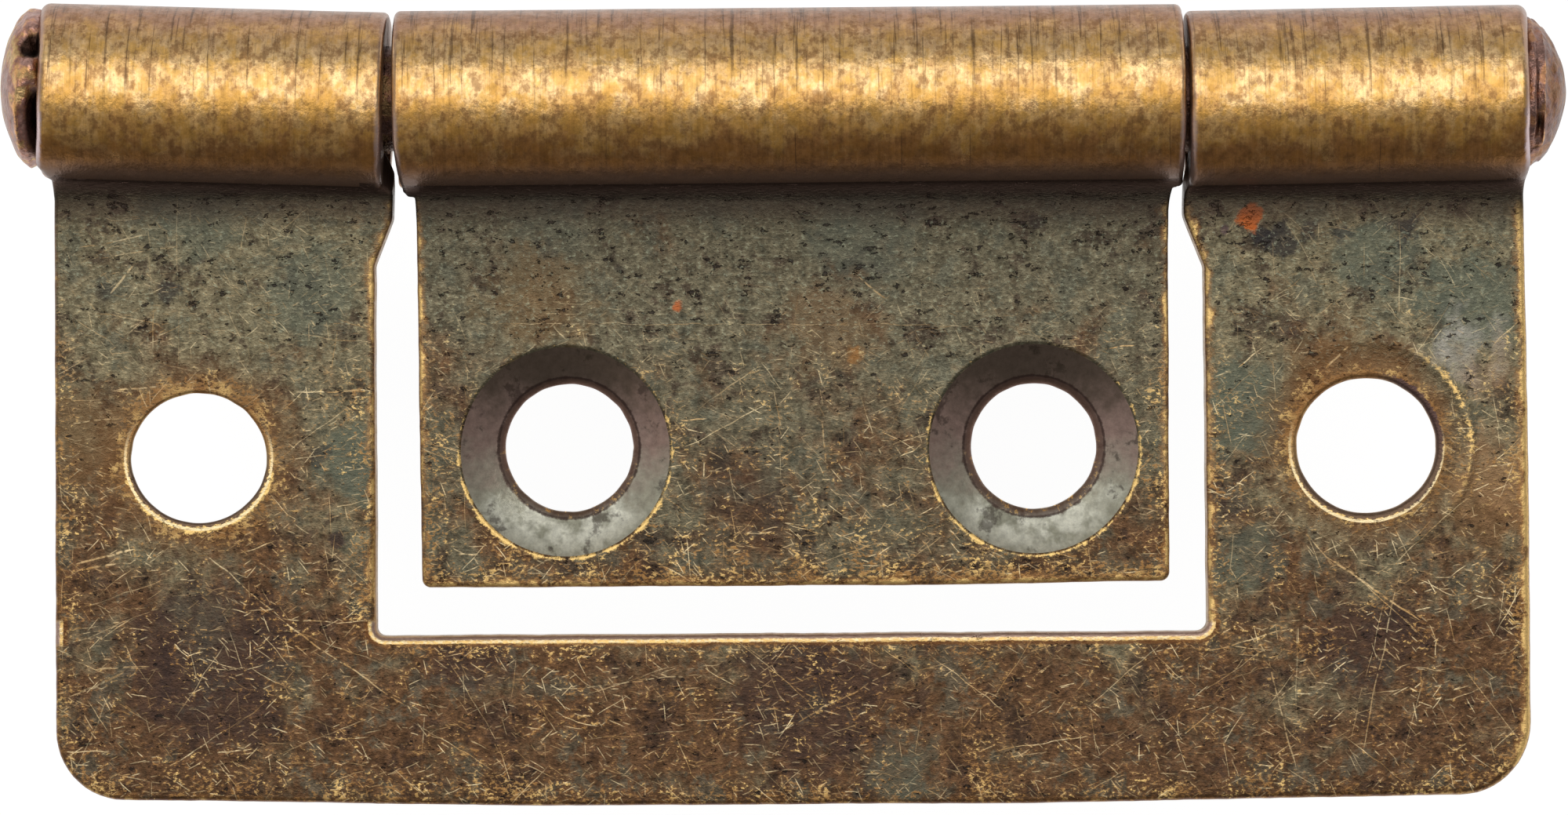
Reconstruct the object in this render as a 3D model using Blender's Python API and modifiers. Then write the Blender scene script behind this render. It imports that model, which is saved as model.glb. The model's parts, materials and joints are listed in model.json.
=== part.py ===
"""Flush hinge in aged brass.

A framed outer leaf with two end knuckles, an inner leaf that closes inside its window with
one long centre knuckle, and a pin that is headed over at both ends.

Metres, +Z up. X runs along the pin and +Y points from the leaves to the knuckles. The origin
lies under the middle of the closed hinge, level with the lowest line of the knuckles.
Both leaves are rolled from the same sheet: a flat plate whose middle plane passes through the
pin's axis, a joggle up to the knuckle, and a curl that goes over the front and ends at the back.
"""

import math

import bmesh
import bpy
from mathutils import Vector

# Sheet and pin
SHEET_THICKNESS = 0.0012
JOGGLE_RADIUS = 0.0012  # middle of the sheet, in the hollow bend between plate and knuckle
SEAM_GAP = 0.0003  # between the end of the curl and the back of the joggle
EDGE_ROUND = 0.00015  # worn square edges of the leaves
PIN_DIAMETER = 0.0035
PIN_CLEARANCE = 0.0001  # on the radius
HEAD_OVERHANG = 0.00085  # on the radius, past the pin
HEAD_HEIGHT = 0.0011
HEAD_EDGE = 0.00012  # chamfer round the back of a head
HEAD_SEAT = 0.0001  # between a head and the end of its knuckle

# Outer leaf, with depths measured from the pin's axis
ROW_LENGTH = 0.0500
PLATE_INSET = 0.00035  # how far each side of the plate lies inside the knuckle row
PLATE_SHIFT = 0.0003  # both plates towards +X, from the middle of the row
OUTER_DEPTH = 0.0235
OUTER_CORNER_RADIUS = 0.0023
ARM_WIDTH = 0.010725
RAIL_WIDTH = 0.0056
WINDOW_CORNER_RADIUS = 0.0003
FLARE_WIDTH = 0.000575  # how much wider an arm is at its knuckle
FLARE_OFFSET = 0.0007  # from the back line of the knuckles to where the arms start to narrow
FLARE_RUN = 0.0020

# Inner leaf and the knuckle between the outer leaf's two
KNUCKLE_GAP = 0.0002
CENTRE_KNUCKLE_SHIFT = 0.0002  # towards +X, from the middle of the row
INNER_SIDE_GAP = 0.00135  # between the inner plate and the window
INNER_END_GAP = 0.0016
INNER_CORNER_RADIUS = 0.0003
SHOULDER_RUN = 0.0003  # length of the slant where a knuckle's end steps in to its plate

# Screw holes, set in from the sides and free edge of their plate
HOLE_LAND = 0.0002  # straight wall left under a countersink
OUTER_HOLE_DIAMETER = 0.00445
OUTER_SINK_DIAMETER = 0.0075
OUTER_HOLE_INSET = 0.00515
OUTER_HOLE_EDGE = 0.0117
OUTER_HOLE_SHIFT = -0.0003  # towards +X, from the middle of the plate
INNER_HOLE_DIAMETER = 0.0042
INNER_SINK_DIAMETER = 0.0073
INNER_HOLE_INSET = 0.004825
INNER_HOLE_EDGE = 0.00465
INNER_HOLE_SHIFT = 0.0003

# Roundness of the surfaces
TURN_STEPS = 48
CORNER_STEPS = 8
EDGE_STEPS = 2
EDGE_ANGLE = math.radians(60)
OVERCUT = 0.0010  # how far a cutter or a blank runs past what it cuts
WELD = 1e-6

# Sizes that follow from those above
BORE_RADIUS = PIN_DIAMETER / 2 + PIN_CLEARANCE
CURL_RADIUS = BORE_RADIUS + SHEET_THICKNESS / 2
KNUCKLE_RADIUS = BORE_RADIUS + SHEET_THICKNESS
HEAD_RADIUS = PIN_DIAMETER / 2 + HEAD_OVERHANG
JOGGLE_DEPTH = math.sqrt(CURL_RADIUS**2 + 2 * CURL_RADIUS * JOGGLE_RADIUS)
OUTER_WIDTH = ROW_LENGTH - 2 * PLATE_INSET
WINDOW_WIDTH = OUTER_WIDTH - 2 * ARM_WIDTH
WINDOW_DEPTH = OUTER_DEPTH - RAIL_WIDTH
CENTRE_KNUCKLE_LENGTH = WINDOW_WIDTH - 2 * (FLARE_WIDTH + KNUCKLE_GAP)
CENTRE_KNUCKLE_LOW = CENTRE_KNUCKLE_SHIFT - CENTRE_KNUCKLE_LENGTH / 2
CENTRE_KNUCKLE_HIGH = CENTRE_KNUCKLE_SHIFT + CENTRE_KNUCKLE_LENGTH / 2
INNER_WIDTH = WINDOW_WIDTH - 2 * INNER_SIDE_GAP
INNER_DEPTH = WINDOW_DEPTH - INNER_END_GAP
OUTER_HOLE_SPACING = OUTER_WIDTH - 2 * OUTER_HOLE_INSET
OUTER_HOLE_DEPTH = OUTER_DEPTH - OUTER_HOLE_EDGE
INNER_HOLE_SPACING = INNER_WIDTH - 2 * INNER_HOLE_INSET
INNER_HOLE_DEPTH = INNER_DEPTH - INNER_HOLE_EDGE
PIN_AXIS = Vector((0, (OUTER_DEPTH - KNUCKLE_RADIUS) / 2, KNUCKLE_RADIUS))

OUTER_BRASS = ((0.155, 0.135, 0.092), 0.46)
INNER_BRASS = ((0.170, 0.150, 0.105), 0.44)
PIN_BRASS = ((0.300, 0.225, 0.140), 0.38)


def clear_scene():
    """Removes every object, so that only the hinge is left."""
    for old in list(bpy.data.objects):
        bpy.data.objects.remove(old, do_unlink=True)


def new_collection(name):
    collection = bpy.data.collections.new(name)
    bpy.context.scene.collection.children.link(collection)
    return collection


def brass(name, finish):
    """A metallic material with the given colour and roughness."""
    colour, roughness = finish
    material = bpy.data.materials.new(name)
    material.use_nodes = True
    shader = material.node_tree.nodes["Principled BSDF"]
    shader.inputs["Base Color"].default_value = (*colour, 1)
    shader.inputs["Metallic"].default_value = 1.0
    shader.inputs["Roughness"].default_value = roughness
    material.diffuse_color = (*colour, 1)
    return material


def add_object(name, mesh, collection):
    made = bpy.data.objects.new(name, mesh)
    collection.objects.link(made)
    return made


def hide_as_cutter(cutter):
    cutter.hide_render = True
    cutter.display_type = "WIRE"


def arc(centre, radius, start, end, steps):
    """Points on an arc, both ends included, with the angles in radians."""
    angles = [start + (end - start) * i / steps for i in range(steps + 1)]
    return [centre + radius * Vector((math.cos(a), math.sin(a))) for a in angles]


def rounded_outline(corners):
    """A closed outline from (x, y, radius) corners, with each radius as an arc."""
    points = []
    for i, (x, y, radius) in enumerate(corners):
        corner = Vector((x, y))
        if radius == 0:
            points.append(corner)
            continue
        before = (Vector(corners[i - 1][:2]) - corner).normalized()
        after = (Vector(corners[(i + 1) % len(corners)][:2]) - corner).normalized()
        half = before.angle(after) / 2
        centre = corner + (before + after).normalized() * radius / math.sin(half)
        first = corner + before * radius / math.tan(half) - centre
        last = corner + after * radius / math.tan(half) - centre
        start = math.atan2(first.y, first.x)
        sweep = math.atan2(first.cross(last), first.dot(last))
        points += arc(centre, radius, start, start + sweep, CORNER_STEPS)
    return points


def outline_block(name, points, half_height, collection):
    """The outline as a flat filled curve with a thickness, made a mesh that can cut."""
    curve = bpy.data.curves.new(name, "CURVE")
    curve.dimensions = "2D"
    curve.fill_mode = "BOTH"
    curve.extrude = half_height
    spline = curve.splines.new("POLY")
    spline.points.add(len(points) - 1)
    for point, place in zip(spline.points, points):
        point.co = (place.x, place.y, 0, 1)
    spline.use_cyclic_u = True
    flat = add_object(name + "_curve", curve, collection)
    bpy.context.view_layer.update()
    mesh = bpy.data.meshes.new_from_object(flat.evaluated_get(bpy.context.evaluated_depsgraph_get()))
    bpy.data.objects.remove(flat)
    bm = bmesh.new()
    bm.from_mesh(mesh)
    bmesh.ops.remove_doubles(bm, verts=bm.verts, dist=WELD)
    bmesh.ops.recalc_face_normals(bm, faces=bm.faces)
    bm.to_mesh(mesh)
    bm.free()
    block = add_object(name, mesh, collection)
    block.location = PIN_AXIS
    hide_as_cutter(block)
    return block


def turned(name, profile, collection):
    """A solid turned about its own Z axis, from (radius, height) points that run downwards."""
    mesh = bpy.data.meshes.new(name)
    edges = [(i, i + 1) for i in range(len(profile) - 1)]
    mesh.from_pydata([(radius, 0, height) for radius, height in profile], edges, [])
    made = add_object(name, mesh, collection)
    screw = made.modifiers.new("turn", "SCREW")
    screw.axis = "Z"
    screw.angle = math.tau
    screw.steps = TURN_STEPS
    screw.render_steps = TURN_STEPS
    screw.use_merge_vertices = True
    screw.merge_threshold = WELD
    screw.use_smooth_shade = True
    return made


def sheet_path(depth):
    """The middle line of a leaf as (y, z) points from its free edge to the end of its curl.

    The joggle is an arc tangent to the plate and, from outside, to the curl. The curl stops
    where its outer corner is the seam gap away from the back of the joggle.
    """
    joggle_centre = Vector((-JOGGLE_DEPTH, JOGGLE_RADIUS))
    meeting = math.atan2(JOGGLE_RADIUS, -JOGGLE_DEPTH)
    joggle_end = meeting - math.pi
    joggle_steps = math.ceil(TURN_STEPS * (joggle_end + math.pi / 2) / math.tau)
    apart = CURL_RADIUS + JOGGLE_RADIUS
    reach = JOGGLE_RADIUS + SHEET_THICKNESS / 2 + SEAM_GAP
    cosine = (KNUCKLE_RADIUS**2 + apart**2 - reach**2) / (2 * KNUCKLE_RADIUS * apart)
    curl_turn = math.tau - math.acos(cosine)
    curl_steps = math.ceil(TURN_STEPS * curl_turn / math.tau)
    plate = [Vector((-depth - OVERCUT, 0))]
    joggle = arc(joggle_centre, JOGGLE_RADIUS, -math.pi / 2, joggle_end, joggle_steps)
    curl = arc(Vector((0, 0)), CURL_RADIUS, meeting, meeting - curl_turn, curl_steps)
    return plate + joggle + curl[1:]


def rolled_sheet(name, depth, collection):
    """The rolled leaf before its outline is cut: its middle surface drawn out along X."""
    half_width = ROW_LENGTH / 2 + OVERCUT
    bm = bmesh.new()
    line = [bm.verts.new((-half_width, y, z)) for y, z in sheet_path(depth)]
    edges = [bm.edges.new(pair) for pair in zip(line, line[1:])]
    drawn = bmesh.ops.extrude_edge_only(bm, edges=edges)["geom"]
    far = [item for item in drawn if isinstance(item, bmesh.types.BMVert)]
    bmesh.ops.translate(bm, verts=far, vec=(2 * half_width, 0, 0))
    mesh = bpy.data.meshes.new(name)
    bm.to_mesh(mesh)
    bm.free()
    leaf = add_object(name, mesh, collection)
    leaf.location = PIN_AXIS
    wall = leaf.modifiers.new("sheet", "SOLIDIFY")
    wall.thickness = SHEET_THICKNESS
    wall.offset = 0
    wall.use_even_offset = True
    return leaf


def cut(leaf, cutter, operation):
    step = leaf.modifiers.new(cutter.name, "BOOLEAN")
    step.operation = operation
    step.object = cutter


def screw_hole(name, x, depth, hole_diameter, sink_diameter, front, cutters):
    """A cutter for one hole: a straight land with a cone that opens to one face of the plate."""
    face = SHEET_THICKNESS / 2
    land_top = HOLE_LAND - face
    widening = (sink_diameter - hole_diameter) / 2 / (face - land_top)
    mouth = sink_diameter / 2 + OVERCUT * widening
    profile = [
        (0, face + OVERCUT),
        (mouth, face + OVERCUT),
        (hole_diameter / 2, land_top),
        (hole_diameter / 2, -face - OVERCUT),
        (0, -face - OVERCUT),
    ]
    cutter = turned(name, profile, cutters)
    cutter.location = PIN_AXIS + Vector((x, -depth, 0))
    cutter.rotation_euler.x = 0 if front else math.pi
    hide_as_cutter(cutter)
    return cutter


def finish_leaf(leaf, material):
    """Rounds the square edges and dresses the leaf. The slanted mouths of the countersinks stay sharp."""
    edges = leaf.modifiers.new("worn_edges", "BEVEL")
    edges.width = EDGE_ROUND
    edges.segments = EDGE_STEPS
    edges.limit_method = "ANGLE"
    edges.angle_limit = EDGE_ANGLE
    edges.use_clamp_overlap = False
    leaf.data.materials.append(material)
    leaf.data.shade_smooth()
    leaf.data.set_sharp_from_angle(angle=math.radians(30))


def outer_outline():
    """The framed leaf seen from the front, with the window open between its two knuckles."""
    top = KNUCKLE_RADIUS + OVERCUT
    shoulder = -KNUCKLE_RADIUS
    flare = -KNUCKLE_RADIUS - FLARE_OFFSET
    row = ROW_LENGTH / 2
    left, right = PLATE_SHIFT - OUTER_WIDTH / 2, PLATE_SHIFT + OUTER_WIDTH / 2
    window_left = PLATE_SHIFT - WINDOW_WIDTH / 2
    window_right = PLATE_SHIFT + WINDOW_WIDTH / 2
    left_end = CENTRE_KNUCKLE_LOW - KNUCKLE_GAP
    right_end = CENTRE_KNUCKLE_HIGH + KNUCKLE_GAP
    return rounded_outline(
        [
            (-row, top, 0),
            (-row, shoulder, 0),
            (left, shoulder - SHOULDER_RUN, 0),
            (left, -OUTER_DEPTH, OUTER_CORNER_RADIUS),
            (right, -OUTER_DEPTH, OUTER_CORNER_RADIUS),
            (right, shoulder - SHOULDER_RUN, 0),
            (row, shoulder, 0),
            (row, top, 0),
            (right_end, top, 0),
            (right_end, flare, 0),
            (window_right, flare - FLARE_RUN, 0),
            (window_right, -WINDOW_DEPTH, WINDOW_CORNER_RADIUS),
            (window_left, -WINDOW_DEPTH, WINDOW_CORNER_RADIUS),
            (window_left, flare - FLARE_RUN, 0),
            (left_end, flare, 0),
            (left_end, top, 0),
        ]
    )


def inner_outline():
    """The inner leaf seen from the front, narrower than its knuckle."""
    top = KNUCKLE_RADIUS + OVERCUT
    shoulder = -KNUCKLE_RADIUS
    left, right = PLATE_SHIFT - INNER_WIDTH / 2, PLATE_SHIFT + INNER_WIDTH / 2
    return rounded_outline(
        [
            (CENTRE_KNUCKLE_LOW, top, 0),
            (CENTRE_KNUCKLE_LOW, shoulder, 0),
            (left, shoulder - SHOULDER_RUN, 0),
            (left, -INNER_DEPTH, INNER_CORNER_RADIUS),
            (right, -INNER_DEPTH, INNER_CORNER_RADIUS),
            (right, shoulder - SHOULDER_RUN, 0),
            (CENTRE_KNUCKLE_HIGH, shoulder, 0),
            (CENTRE_KNUCKLE_HIGH, top, 0),
        ]
    )


def make_outer_leaf(parts, cutters):
    """The U-shaped frame with the end knuckles. Its countersinks are on the back."""
    leaf = rolled_sheet("outer_leaf", OUTER_DEPTH, parts)
    block = outline_block("outer_blank", outer_outline(), KNUCKLE_RADIUS + OVERCUT, cutters)
    cut(leaf, block, "INTERSECT")
    for side, name in ((-1, "outer_hole_left"), (1, "outer_hole_right")):
        x = PLATE_SHIFT + OUTER_HOLE_SHIFT + side * OUTER_HOLE_SPACING / 2
        sizes = (OUTER_HOLE_DEPTH, OUTER_HOLE_DIAMETER, OUTER_SINK_DIAMETER)
        cut(leaf, screw_hole(name, x, *sizes, False, cutters), "DIFFERENCE")
    finish_leaf(leaf, brass("outer_brass", OUTER_BRASS))
    return leaf


def make_inner_leaf(parts, cutters):
    """The leaf inside the window, with the centre knuckle. Its countersinks are on the front."""
    leaf = rolled_sheet("inner_leaf", INNER_DEPTH, parts)
    block = outline_block("inner_blank", inner_outline(), KNUCKLE_RADIUS + OVERCUT, cutters)
    cut(leaf, block, "INTERSECT")
    for side, name in ((-1, "inner_hole_left"), (1, "inner_hole_right")):
        x = PLATE_SHIFT + INNER_HOLE_SHIFT + side * INNER_HOLE_SPACING / 2
        sizes = (INNER_HOLE_DEPTH, INNER_HOLE_DIAMETER, INNER_SINK_DIAMETER)
        cut(leaf, screw_hole(name, x, *sizes, True, cutters), "DIFFERENCE")
    finish_leaf(leaf, brass("inner_brass", INNER_BRASS))
    return leaf


def head_profile(seat):
    """One headed end as (radius, height) points from its pole down to its seat.

    The head is half an ellipse that ends in a small chamfer round its back.
    """
    crown = seat + HEAD_EDGE
    rise = HEAD_HEIGHT - HEAD_EDGE
    steps = TURN_STEPS // 4
    angles = [math.pi / 2 * (1 - i / steps) for i in range(steps + 1)]
    dome = [(HEAD_RADIUS * math.cos(a), crown + rise * math.sin(a)) for a in angles]
    dome[0] = (0, crown + rise)
    return dome + [(HEAD_RADIUS - HEAD_EDGE, seat), (PIN_DIAMETER / 2, seat)]


def make_pin(parts):
    """The pin with a peened head outside each end knuckle, so that it can't come out."""
    upper = head_profile(ROW_LENGTH / 2 + HEAD_SEAT)
    lower = [(radius, -height) for radius, height in reversed(upper)]
    pin = turned("hinge_pin", upper + lower, parts)
    pin.location = PIN_AXIS
    pin.rotation_euler.y = math.pi / 2
    pin.data.materials.append(brass("pin_brass", PIN_BRASS))
    return pin


def main():
    clear_scene()
    parts = new_collection("flush_hinge")
    cutters = new_collection("flush_hinge_cutters")
    make_outer_leaf(parts, cutters)
    make_inner_leaf(parts, cutters)
    make_pin(parts)


main()
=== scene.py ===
"""Looks of a closed flush hinge in aged brass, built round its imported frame.

Sizes here are millimetres until a mesh is made; the frame is in metres. Each leaf is one sheet,
so its skin is worked out on the developed sheet: x runs along the pin, run follows the sheet from
the start of the joggle (below zero on the plate), and lift is the height over its middle plane.
"""

import functools
import json
import logging
import math
import operator
from dataclasses import dataclass, field
from enum import Enum

import bpy
import numpy as np
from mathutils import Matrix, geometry


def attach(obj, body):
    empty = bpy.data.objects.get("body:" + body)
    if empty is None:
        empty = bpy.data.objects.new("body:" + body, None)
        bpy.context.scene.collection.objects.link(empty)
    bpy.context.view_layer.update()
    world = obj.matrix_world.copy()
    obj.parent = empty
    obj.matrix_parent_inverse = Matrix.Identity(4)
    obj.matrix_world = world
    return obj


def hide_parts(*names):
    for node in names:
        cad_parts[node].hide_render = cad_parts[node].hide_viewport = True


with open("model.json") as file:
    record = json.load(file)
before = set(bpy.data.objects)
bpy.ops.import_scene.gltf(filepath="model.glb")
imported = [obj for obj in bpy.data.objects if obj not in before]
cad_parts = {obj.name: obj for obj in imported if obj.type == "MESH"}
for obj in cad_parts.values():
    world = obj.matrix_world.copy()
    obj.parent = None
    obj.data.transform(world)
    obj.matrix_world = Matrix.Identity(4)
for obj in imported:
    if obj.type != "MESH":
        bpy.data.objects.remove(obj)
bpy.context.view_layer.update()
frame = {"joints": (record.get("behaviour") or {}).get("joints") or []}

MM = 0.001
LATTICE = 128
BATCH = 2000
ROUND_STEPS = 7
CONE_STEPS = 12
AFAR = 20.0
WIDEST_EDGE = 6.0
JOINT = frame["joints"][0]
AXIS_Y = JOINT["pos_m"][1] / MM
AXIS_Z = JOINT["pos_m"][2] / MM

log = logging.getLogger("flush_hinge")

Socket = bpy.types.NodeSocket
Colour = tuple[float, float, float, float]


def paint(red: float, green: float, blue: float) -> Colour:
    """A screen colour, 0 to 255, as the linear colour that a shader takes.

    Args:
        red: Red on the screen.
        green: Green on the screen.
        blue: Blue on the screen.

    Returns:
        The linear colour with full alpha.
    """
    screen = np.array([red, green, blue]) / 255
    linear = np.where(screen <= 0.04045, screen / 12.92, ((screen + 0.055) / 1.055) ** 2.4)
    return (*linear.tolist(), 1.0)


class Finish(Enum):
    """The record's material slots."""

    OUTER = "outer_leaf_brass"
    INNER = "inner_leaf_brass"
    PIN = "pin_brass"


class Body(Enum):
    """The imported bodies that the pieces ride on."""

    OUTER = "outer_leaf"
    INNER = "inner_leaf"


class Face(Enum):
    """The side of a plate that a countersink opens to."""

    FRONT = 1
    BACK = -1


def ease(share: np.ndarray) -> np.ndarray:
    """A share from 0 to 1 with a soft start and end: 3 s squared less 2 s cubed.

    Args:
        share: Any numbers; they are held between 0 and 1 first.

    Returns:
        The eased shares.
    """
    held = np.clip(share, 0, 1)
    return held * held * (3 - 2 * held)


def swell(x: np.ndarray, y: np.ndarray, wave: float, seed: int) -> np.ndarray:
    """A smooth random surface between -1 and 1.

    Random heights stand on a square lattice, one wave apart, and each place blends the four
    round it with eased shares.

    Args:
        x: First coordinate of each place.
        y: Second coordinate of each place.
        wave: Spacing of the lattice.
        seed: Fixes the random heights.

    Returns:
        One height for each place.
    """
    lattice = np.random.default_rng(seed).uniform(-1, 1, (LATTICE, LATTICE))
    column, row = np.floor(x / wave).astype(int), np.floor(y / wave).astype(int)
    across, along = ease(x / wave - column), ease(y / wave - row)
    left, right = column % LATTICE, (column + 1) % LATTICE
    near, far = (
        lattice[left, line % LATTICE] * (1 - across) + lattice[right, line % LATTICE] * across
        for line in (row, row + 1)
    )
    return near * (1 - along) + far * along


def grid_faces(index: np.ndarray) -> np.ndarray:
    """Four-sided faces of a grid of points whose last row joins the first.

    Args:
        index: Point numbers, one row of the array for each step round the closed line.

    Returns:
        One row of four point numbers for each face.
    """
    after = np.roll(index, -1, axis=0)
    corners = [index[:, :-1], after[:, :-1], after[:, 1:], index[:, 1:]]
    return np.stack([corner.ravel() for corner in corners], axis=1)


def batches(places: np.ndarray) -> list[np.ndarray]:
    """Numbers of the places in groups, so that no table of distances grows too large."""
    return np.array_split(np.arange(len(places)), max(1, len(places) // BATCH))


def linked(name: str, data: bpy.types.ID) -> bpy.types.Object:
    """Puts a new object into the scene.

    Args:
        name: The object's name.
        data: Its mesh, lamp or lens.

    Returns:
        The object.
    """
    made = bpy.data.objects.new(name, data)
    bpy.context.scene.collection.objects.link(made)
    return made


def new_piece(
    name: str,
    points: np.ndarray,
    faces: list[np.ndarray],
    values: dict[str, np.ndarray],
    zones: np.ndarray | None = None,
    sharp: float = 40.0,
) -> bpy.types.Object:
    """Makes an object at the origin from arrays of points and faces.

    Args:
        name: The piece's name.
        points: Places in millimetres, one row each.
        faces: Arrays of point numbers, each with three or four columns.
        values: Named numbers or vectors for every point, kept as attributes.
        zones: Number of the finish at every point; a face takes the lowest of its points.
        sharp: Angle in degrees above which an edge is shaded sharp.

    Returns:
        The linked object.
    """
    mesh = bpy.data.meshes.new(name)
    rows = [row for part in faces for row in part.tolist()]
    mesh.from_pydata((points * MM).tolist(), [], rows)
    for label, value in values.items():
        kind, key = ("FLOAT", "value") if value.ndim == 1 else ("FLOAT_VECTOR", "vector")
        layer = mesh.attributes.new(label, kind, "POINT")
        layer.data.foreach_set(key, value.astype(np.float32).ravel())
    if zones is not None:
        index = np.concatenate([zones[part].min(axis=1) for part in faces])
        mesh.polygons.foreach_set("material_index", index.astype(np.int32))
    mesh.shade_smooth()
    mesh.set_sharp_from_angle(angle=math.radians(sharp))
    return linked(name, mesh)


@dataclass(frozen=True)
class SheetSection:
    """Side section of both leaves: plate, joggle and curl on one tangent path."""

    thickness: float = 1.2
    joggle_radius: float = 1.2
    curl_radius: float = 2.45
    seam_gap: float = 0.3

    @property
    def half(self) -> float:
        """Half the sheet's thickness."""
        return self.thickness / 2

    @property
    def joggle_depth(self) -> float:
        """Distance from the pin's axis to the start of the joggle."""
        return math.sqrt(self.curl_radius**2 + 2 * self.curl_radius * self.joggle_radius)

    @property
    def meeting(self) -> float:
        """Angle round the pin at which the joggle meets the curl."""
        return math.atan2(self.joggle_radius, -self.joggle_depth)

    @property
    def joggle_length(self) -> float:
        """Length of the joggle along the middle of the sheet."""
        return self.joggle_radius * (self.meeting - math.pi / 2)

    @property
    def end(self) -> float:
        """Length of joggle and curl, which stops a seam gap short of the joggle's back."""
        apart = self.curl_radius + self.joggle_radius
        reach = self.joggle_radius + self.half + self.seam_gap
        outer = self.curl_radius + self.half
        cosine = (outer**2 + apart**2 - reach**2) / (2 * outer * apart)
        return self.joggle_length + self.curl_radius * (math.tau - math.acos(cosine))

    def place(self, x: np.ndarray, run: np.ndarray, lift: np.ndarray) -> np.ndarray:
        """Bends points of the developed sheet into place.

        The joggle is an arc about a centre over the plate, so its radius shrinks with lift. The
        curl is an arc the other way about the pin, so its radius grows with lift.

        Args:
            x: Place along the pin.
            run: Place along the sheet from the start of the joggle.
            lift: Height over the middle of the sheet.

        Returns:
            Points in the frame, in millimetres, one row each.
        """
        bend = np.clip(run, 0, self.joggle_length) / self.joggle_radius - math.pi / 2
        inner = self.joggle_radius - lift
        turn = self.meeting - (run - self.joggle_length) / self.curl_radius
        outer = self.curl_radius + lift
        curled = run > self.joggle_length
        plate_y = np.minimum(run, 0) - self.joggle_depth
        y = np.where(curled, outer * np.cos(turn), plate_y + inner * np.cos(bend))
        z = np.where(curled, outer * np.sin(turn), self.joggle_radius + inner * np.sin(bend))
        return np.stack([x, y + AXIS_Y, z + AXIS_Z], axis=1)


@dataclass(frozen=True)
class Corner:
    """A corner of a developed outline, its fillet and how far the front edge is worn round."""

    x: float
    run: float
    fillet: float = 0.3
    worn: float = 0.18


@dataclass
class Outline:
    """A closed line round a developed leaf, anticlockwise, as evenly spaced points."""

    corners: list[Corner]
    seed: int = 5
    step: float = 0.16
    arc_step: float = math.radians(7)
    straight: float = 0.002
    ragged: float = 0.011
    points: np.ndarray = field(init=False)
    worn: np.ndarray = field(init=False)
    inward: np.ndarray = field(init=False)

    def __post_init__(self) -> None:
        """Lays the points along fillets and sides, then roughens them along their normals."""
        arcs = [self._fillet(i) for i in range(len(self.corners))]
        points, worn = [], []
        for i, arc in enumerate(arcs):
            following = (i + 1) % len(arcs)
            gap = arcs[following][0] - arc[-1]
            count = max(1, math.ceil(float(np.hypot(*gap)) / self.step))
            shares = np.arange(1, count) / count
            side = arc[-1] + shares[:, None] * gap
            here, there = self.corners[i].worn, self.corners[following].worn
            points += [arc, side]
            worn += [np.full(len(arc), here), here + (there - here) * shares]
        self.points, self.worn = np.concatenate(points), np.concatenate(worn)
        self.inward = self._normals()
        along = np.cumsum(np.hypot(*(self.points - np.roll(self.points, 1, axis=0)).T))
        flat = np.zeros_like(along)
        rough = swell(along, flat, 1.3, self.seed) + 0.6 * swell(along, flat, 0.35, self.seed + 1)
        self.points = self.points + self.inward * (self.ragged * rough)[:, None]

    def _fillet(self, i: int) -> np.ndarray:
        """Points on the arc that rounds corner i.

        The arc's centre lies on the line that halves the corner, at radius over the sine of
        half its angle.

        Args:
            i: Number of the corner.

        Returns:
            The arc's points in order.
        """
        corner = self.corners[i]
        last, following = self.corners[i - 1], self.corners[(i + 1) % len(self.corners)]
        here = np.array([corner.x, corner.run])
        back = np.array([last.x, last.run]) - here
        ahead = np.array([following.x, following.run]) - here
        back, ahead = back / np.hypot(*back), ahead / np.hypot(*ahead)
        half = math.acos(float(np.clip(back @ ahead, -1, 1))) / 2
        if math.pi / 2 - half < self.straight:
            return here[None]
        middle = (back + ahead) / np.hypot(*(back + ahead))
        centre = here + middle * corner.fillet / math.sin(half)
        first = here + back * corner.fillet / math.tan(half) - centre
        stop = here + ahead * corner.fillet / math.tan(half) - centre
        start = math.atan2(first[1], first[0])
        sweep = math.atan2(first[0] * stop[1] - first[1] * stop[0], float(first @ stop))
        count = max(2, math.ceil(abs(sweep) / self.arc_step))
        angles = start + sweep * np.arange(count + 1) / count
        return centre + corner.fillet * np.stack([np.cos(angles), np.sin(angles)], axis=1)

    def _normals(self) -> np.ndarray:
        """Unit normals towards the metal: the line's direction turned a quarter to the left."""
        ahead = np.roll(self.points, -1, axis=0) - np.roll(self.points, 1, axis=0)
        left = np.stack([-ahead[:, 1], ahead[:, 0]], axis=1)
        return left / np.hypot(*left.T)[:, None]

    def holds(self, places: np.ndarray) -> np.ndarray:
        """Whether each place lies inside the line, by counting crossings to its right.

        Args:
            places: Rows of x and run.

        Returns:
            A truth value for each place.
        """
        inside = np.zeros(len(places), bool)
        from_x, from_run = self.points.T
        to_x, to_run = np.roll(self.points, -1, axis=0).T
        rise = np.where(to_run == from_run, 1, to_run - from_run)
        for part in batches(places):
            x, run = places[part, 0, None], places[part, 1, None]
            crossing = from_x + (run - from_run) / rise * (to_x - from_x)
            crossed = ((from_run > run) != (to_run > run)) & (x < crossing)
            inside[part] = crossed.sum(axis=1) % 2 == 1
        return inside

    def distance(self, places: np.ndarray) -> np.ndarray:
        """Distance from each place to the nearest point of the line.

        Args:
            places: Rows of x and run.

        Returns:
            One distance for each place.
        """
        nearest = np.zeros(len(places))
        for part in batches(places):
            gap = places[part, None, :] - self.points[None]
            nearest[part] = np.sqrt((gap**2).sum(axis=2).min(axis=1))
        return nearest


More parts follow.
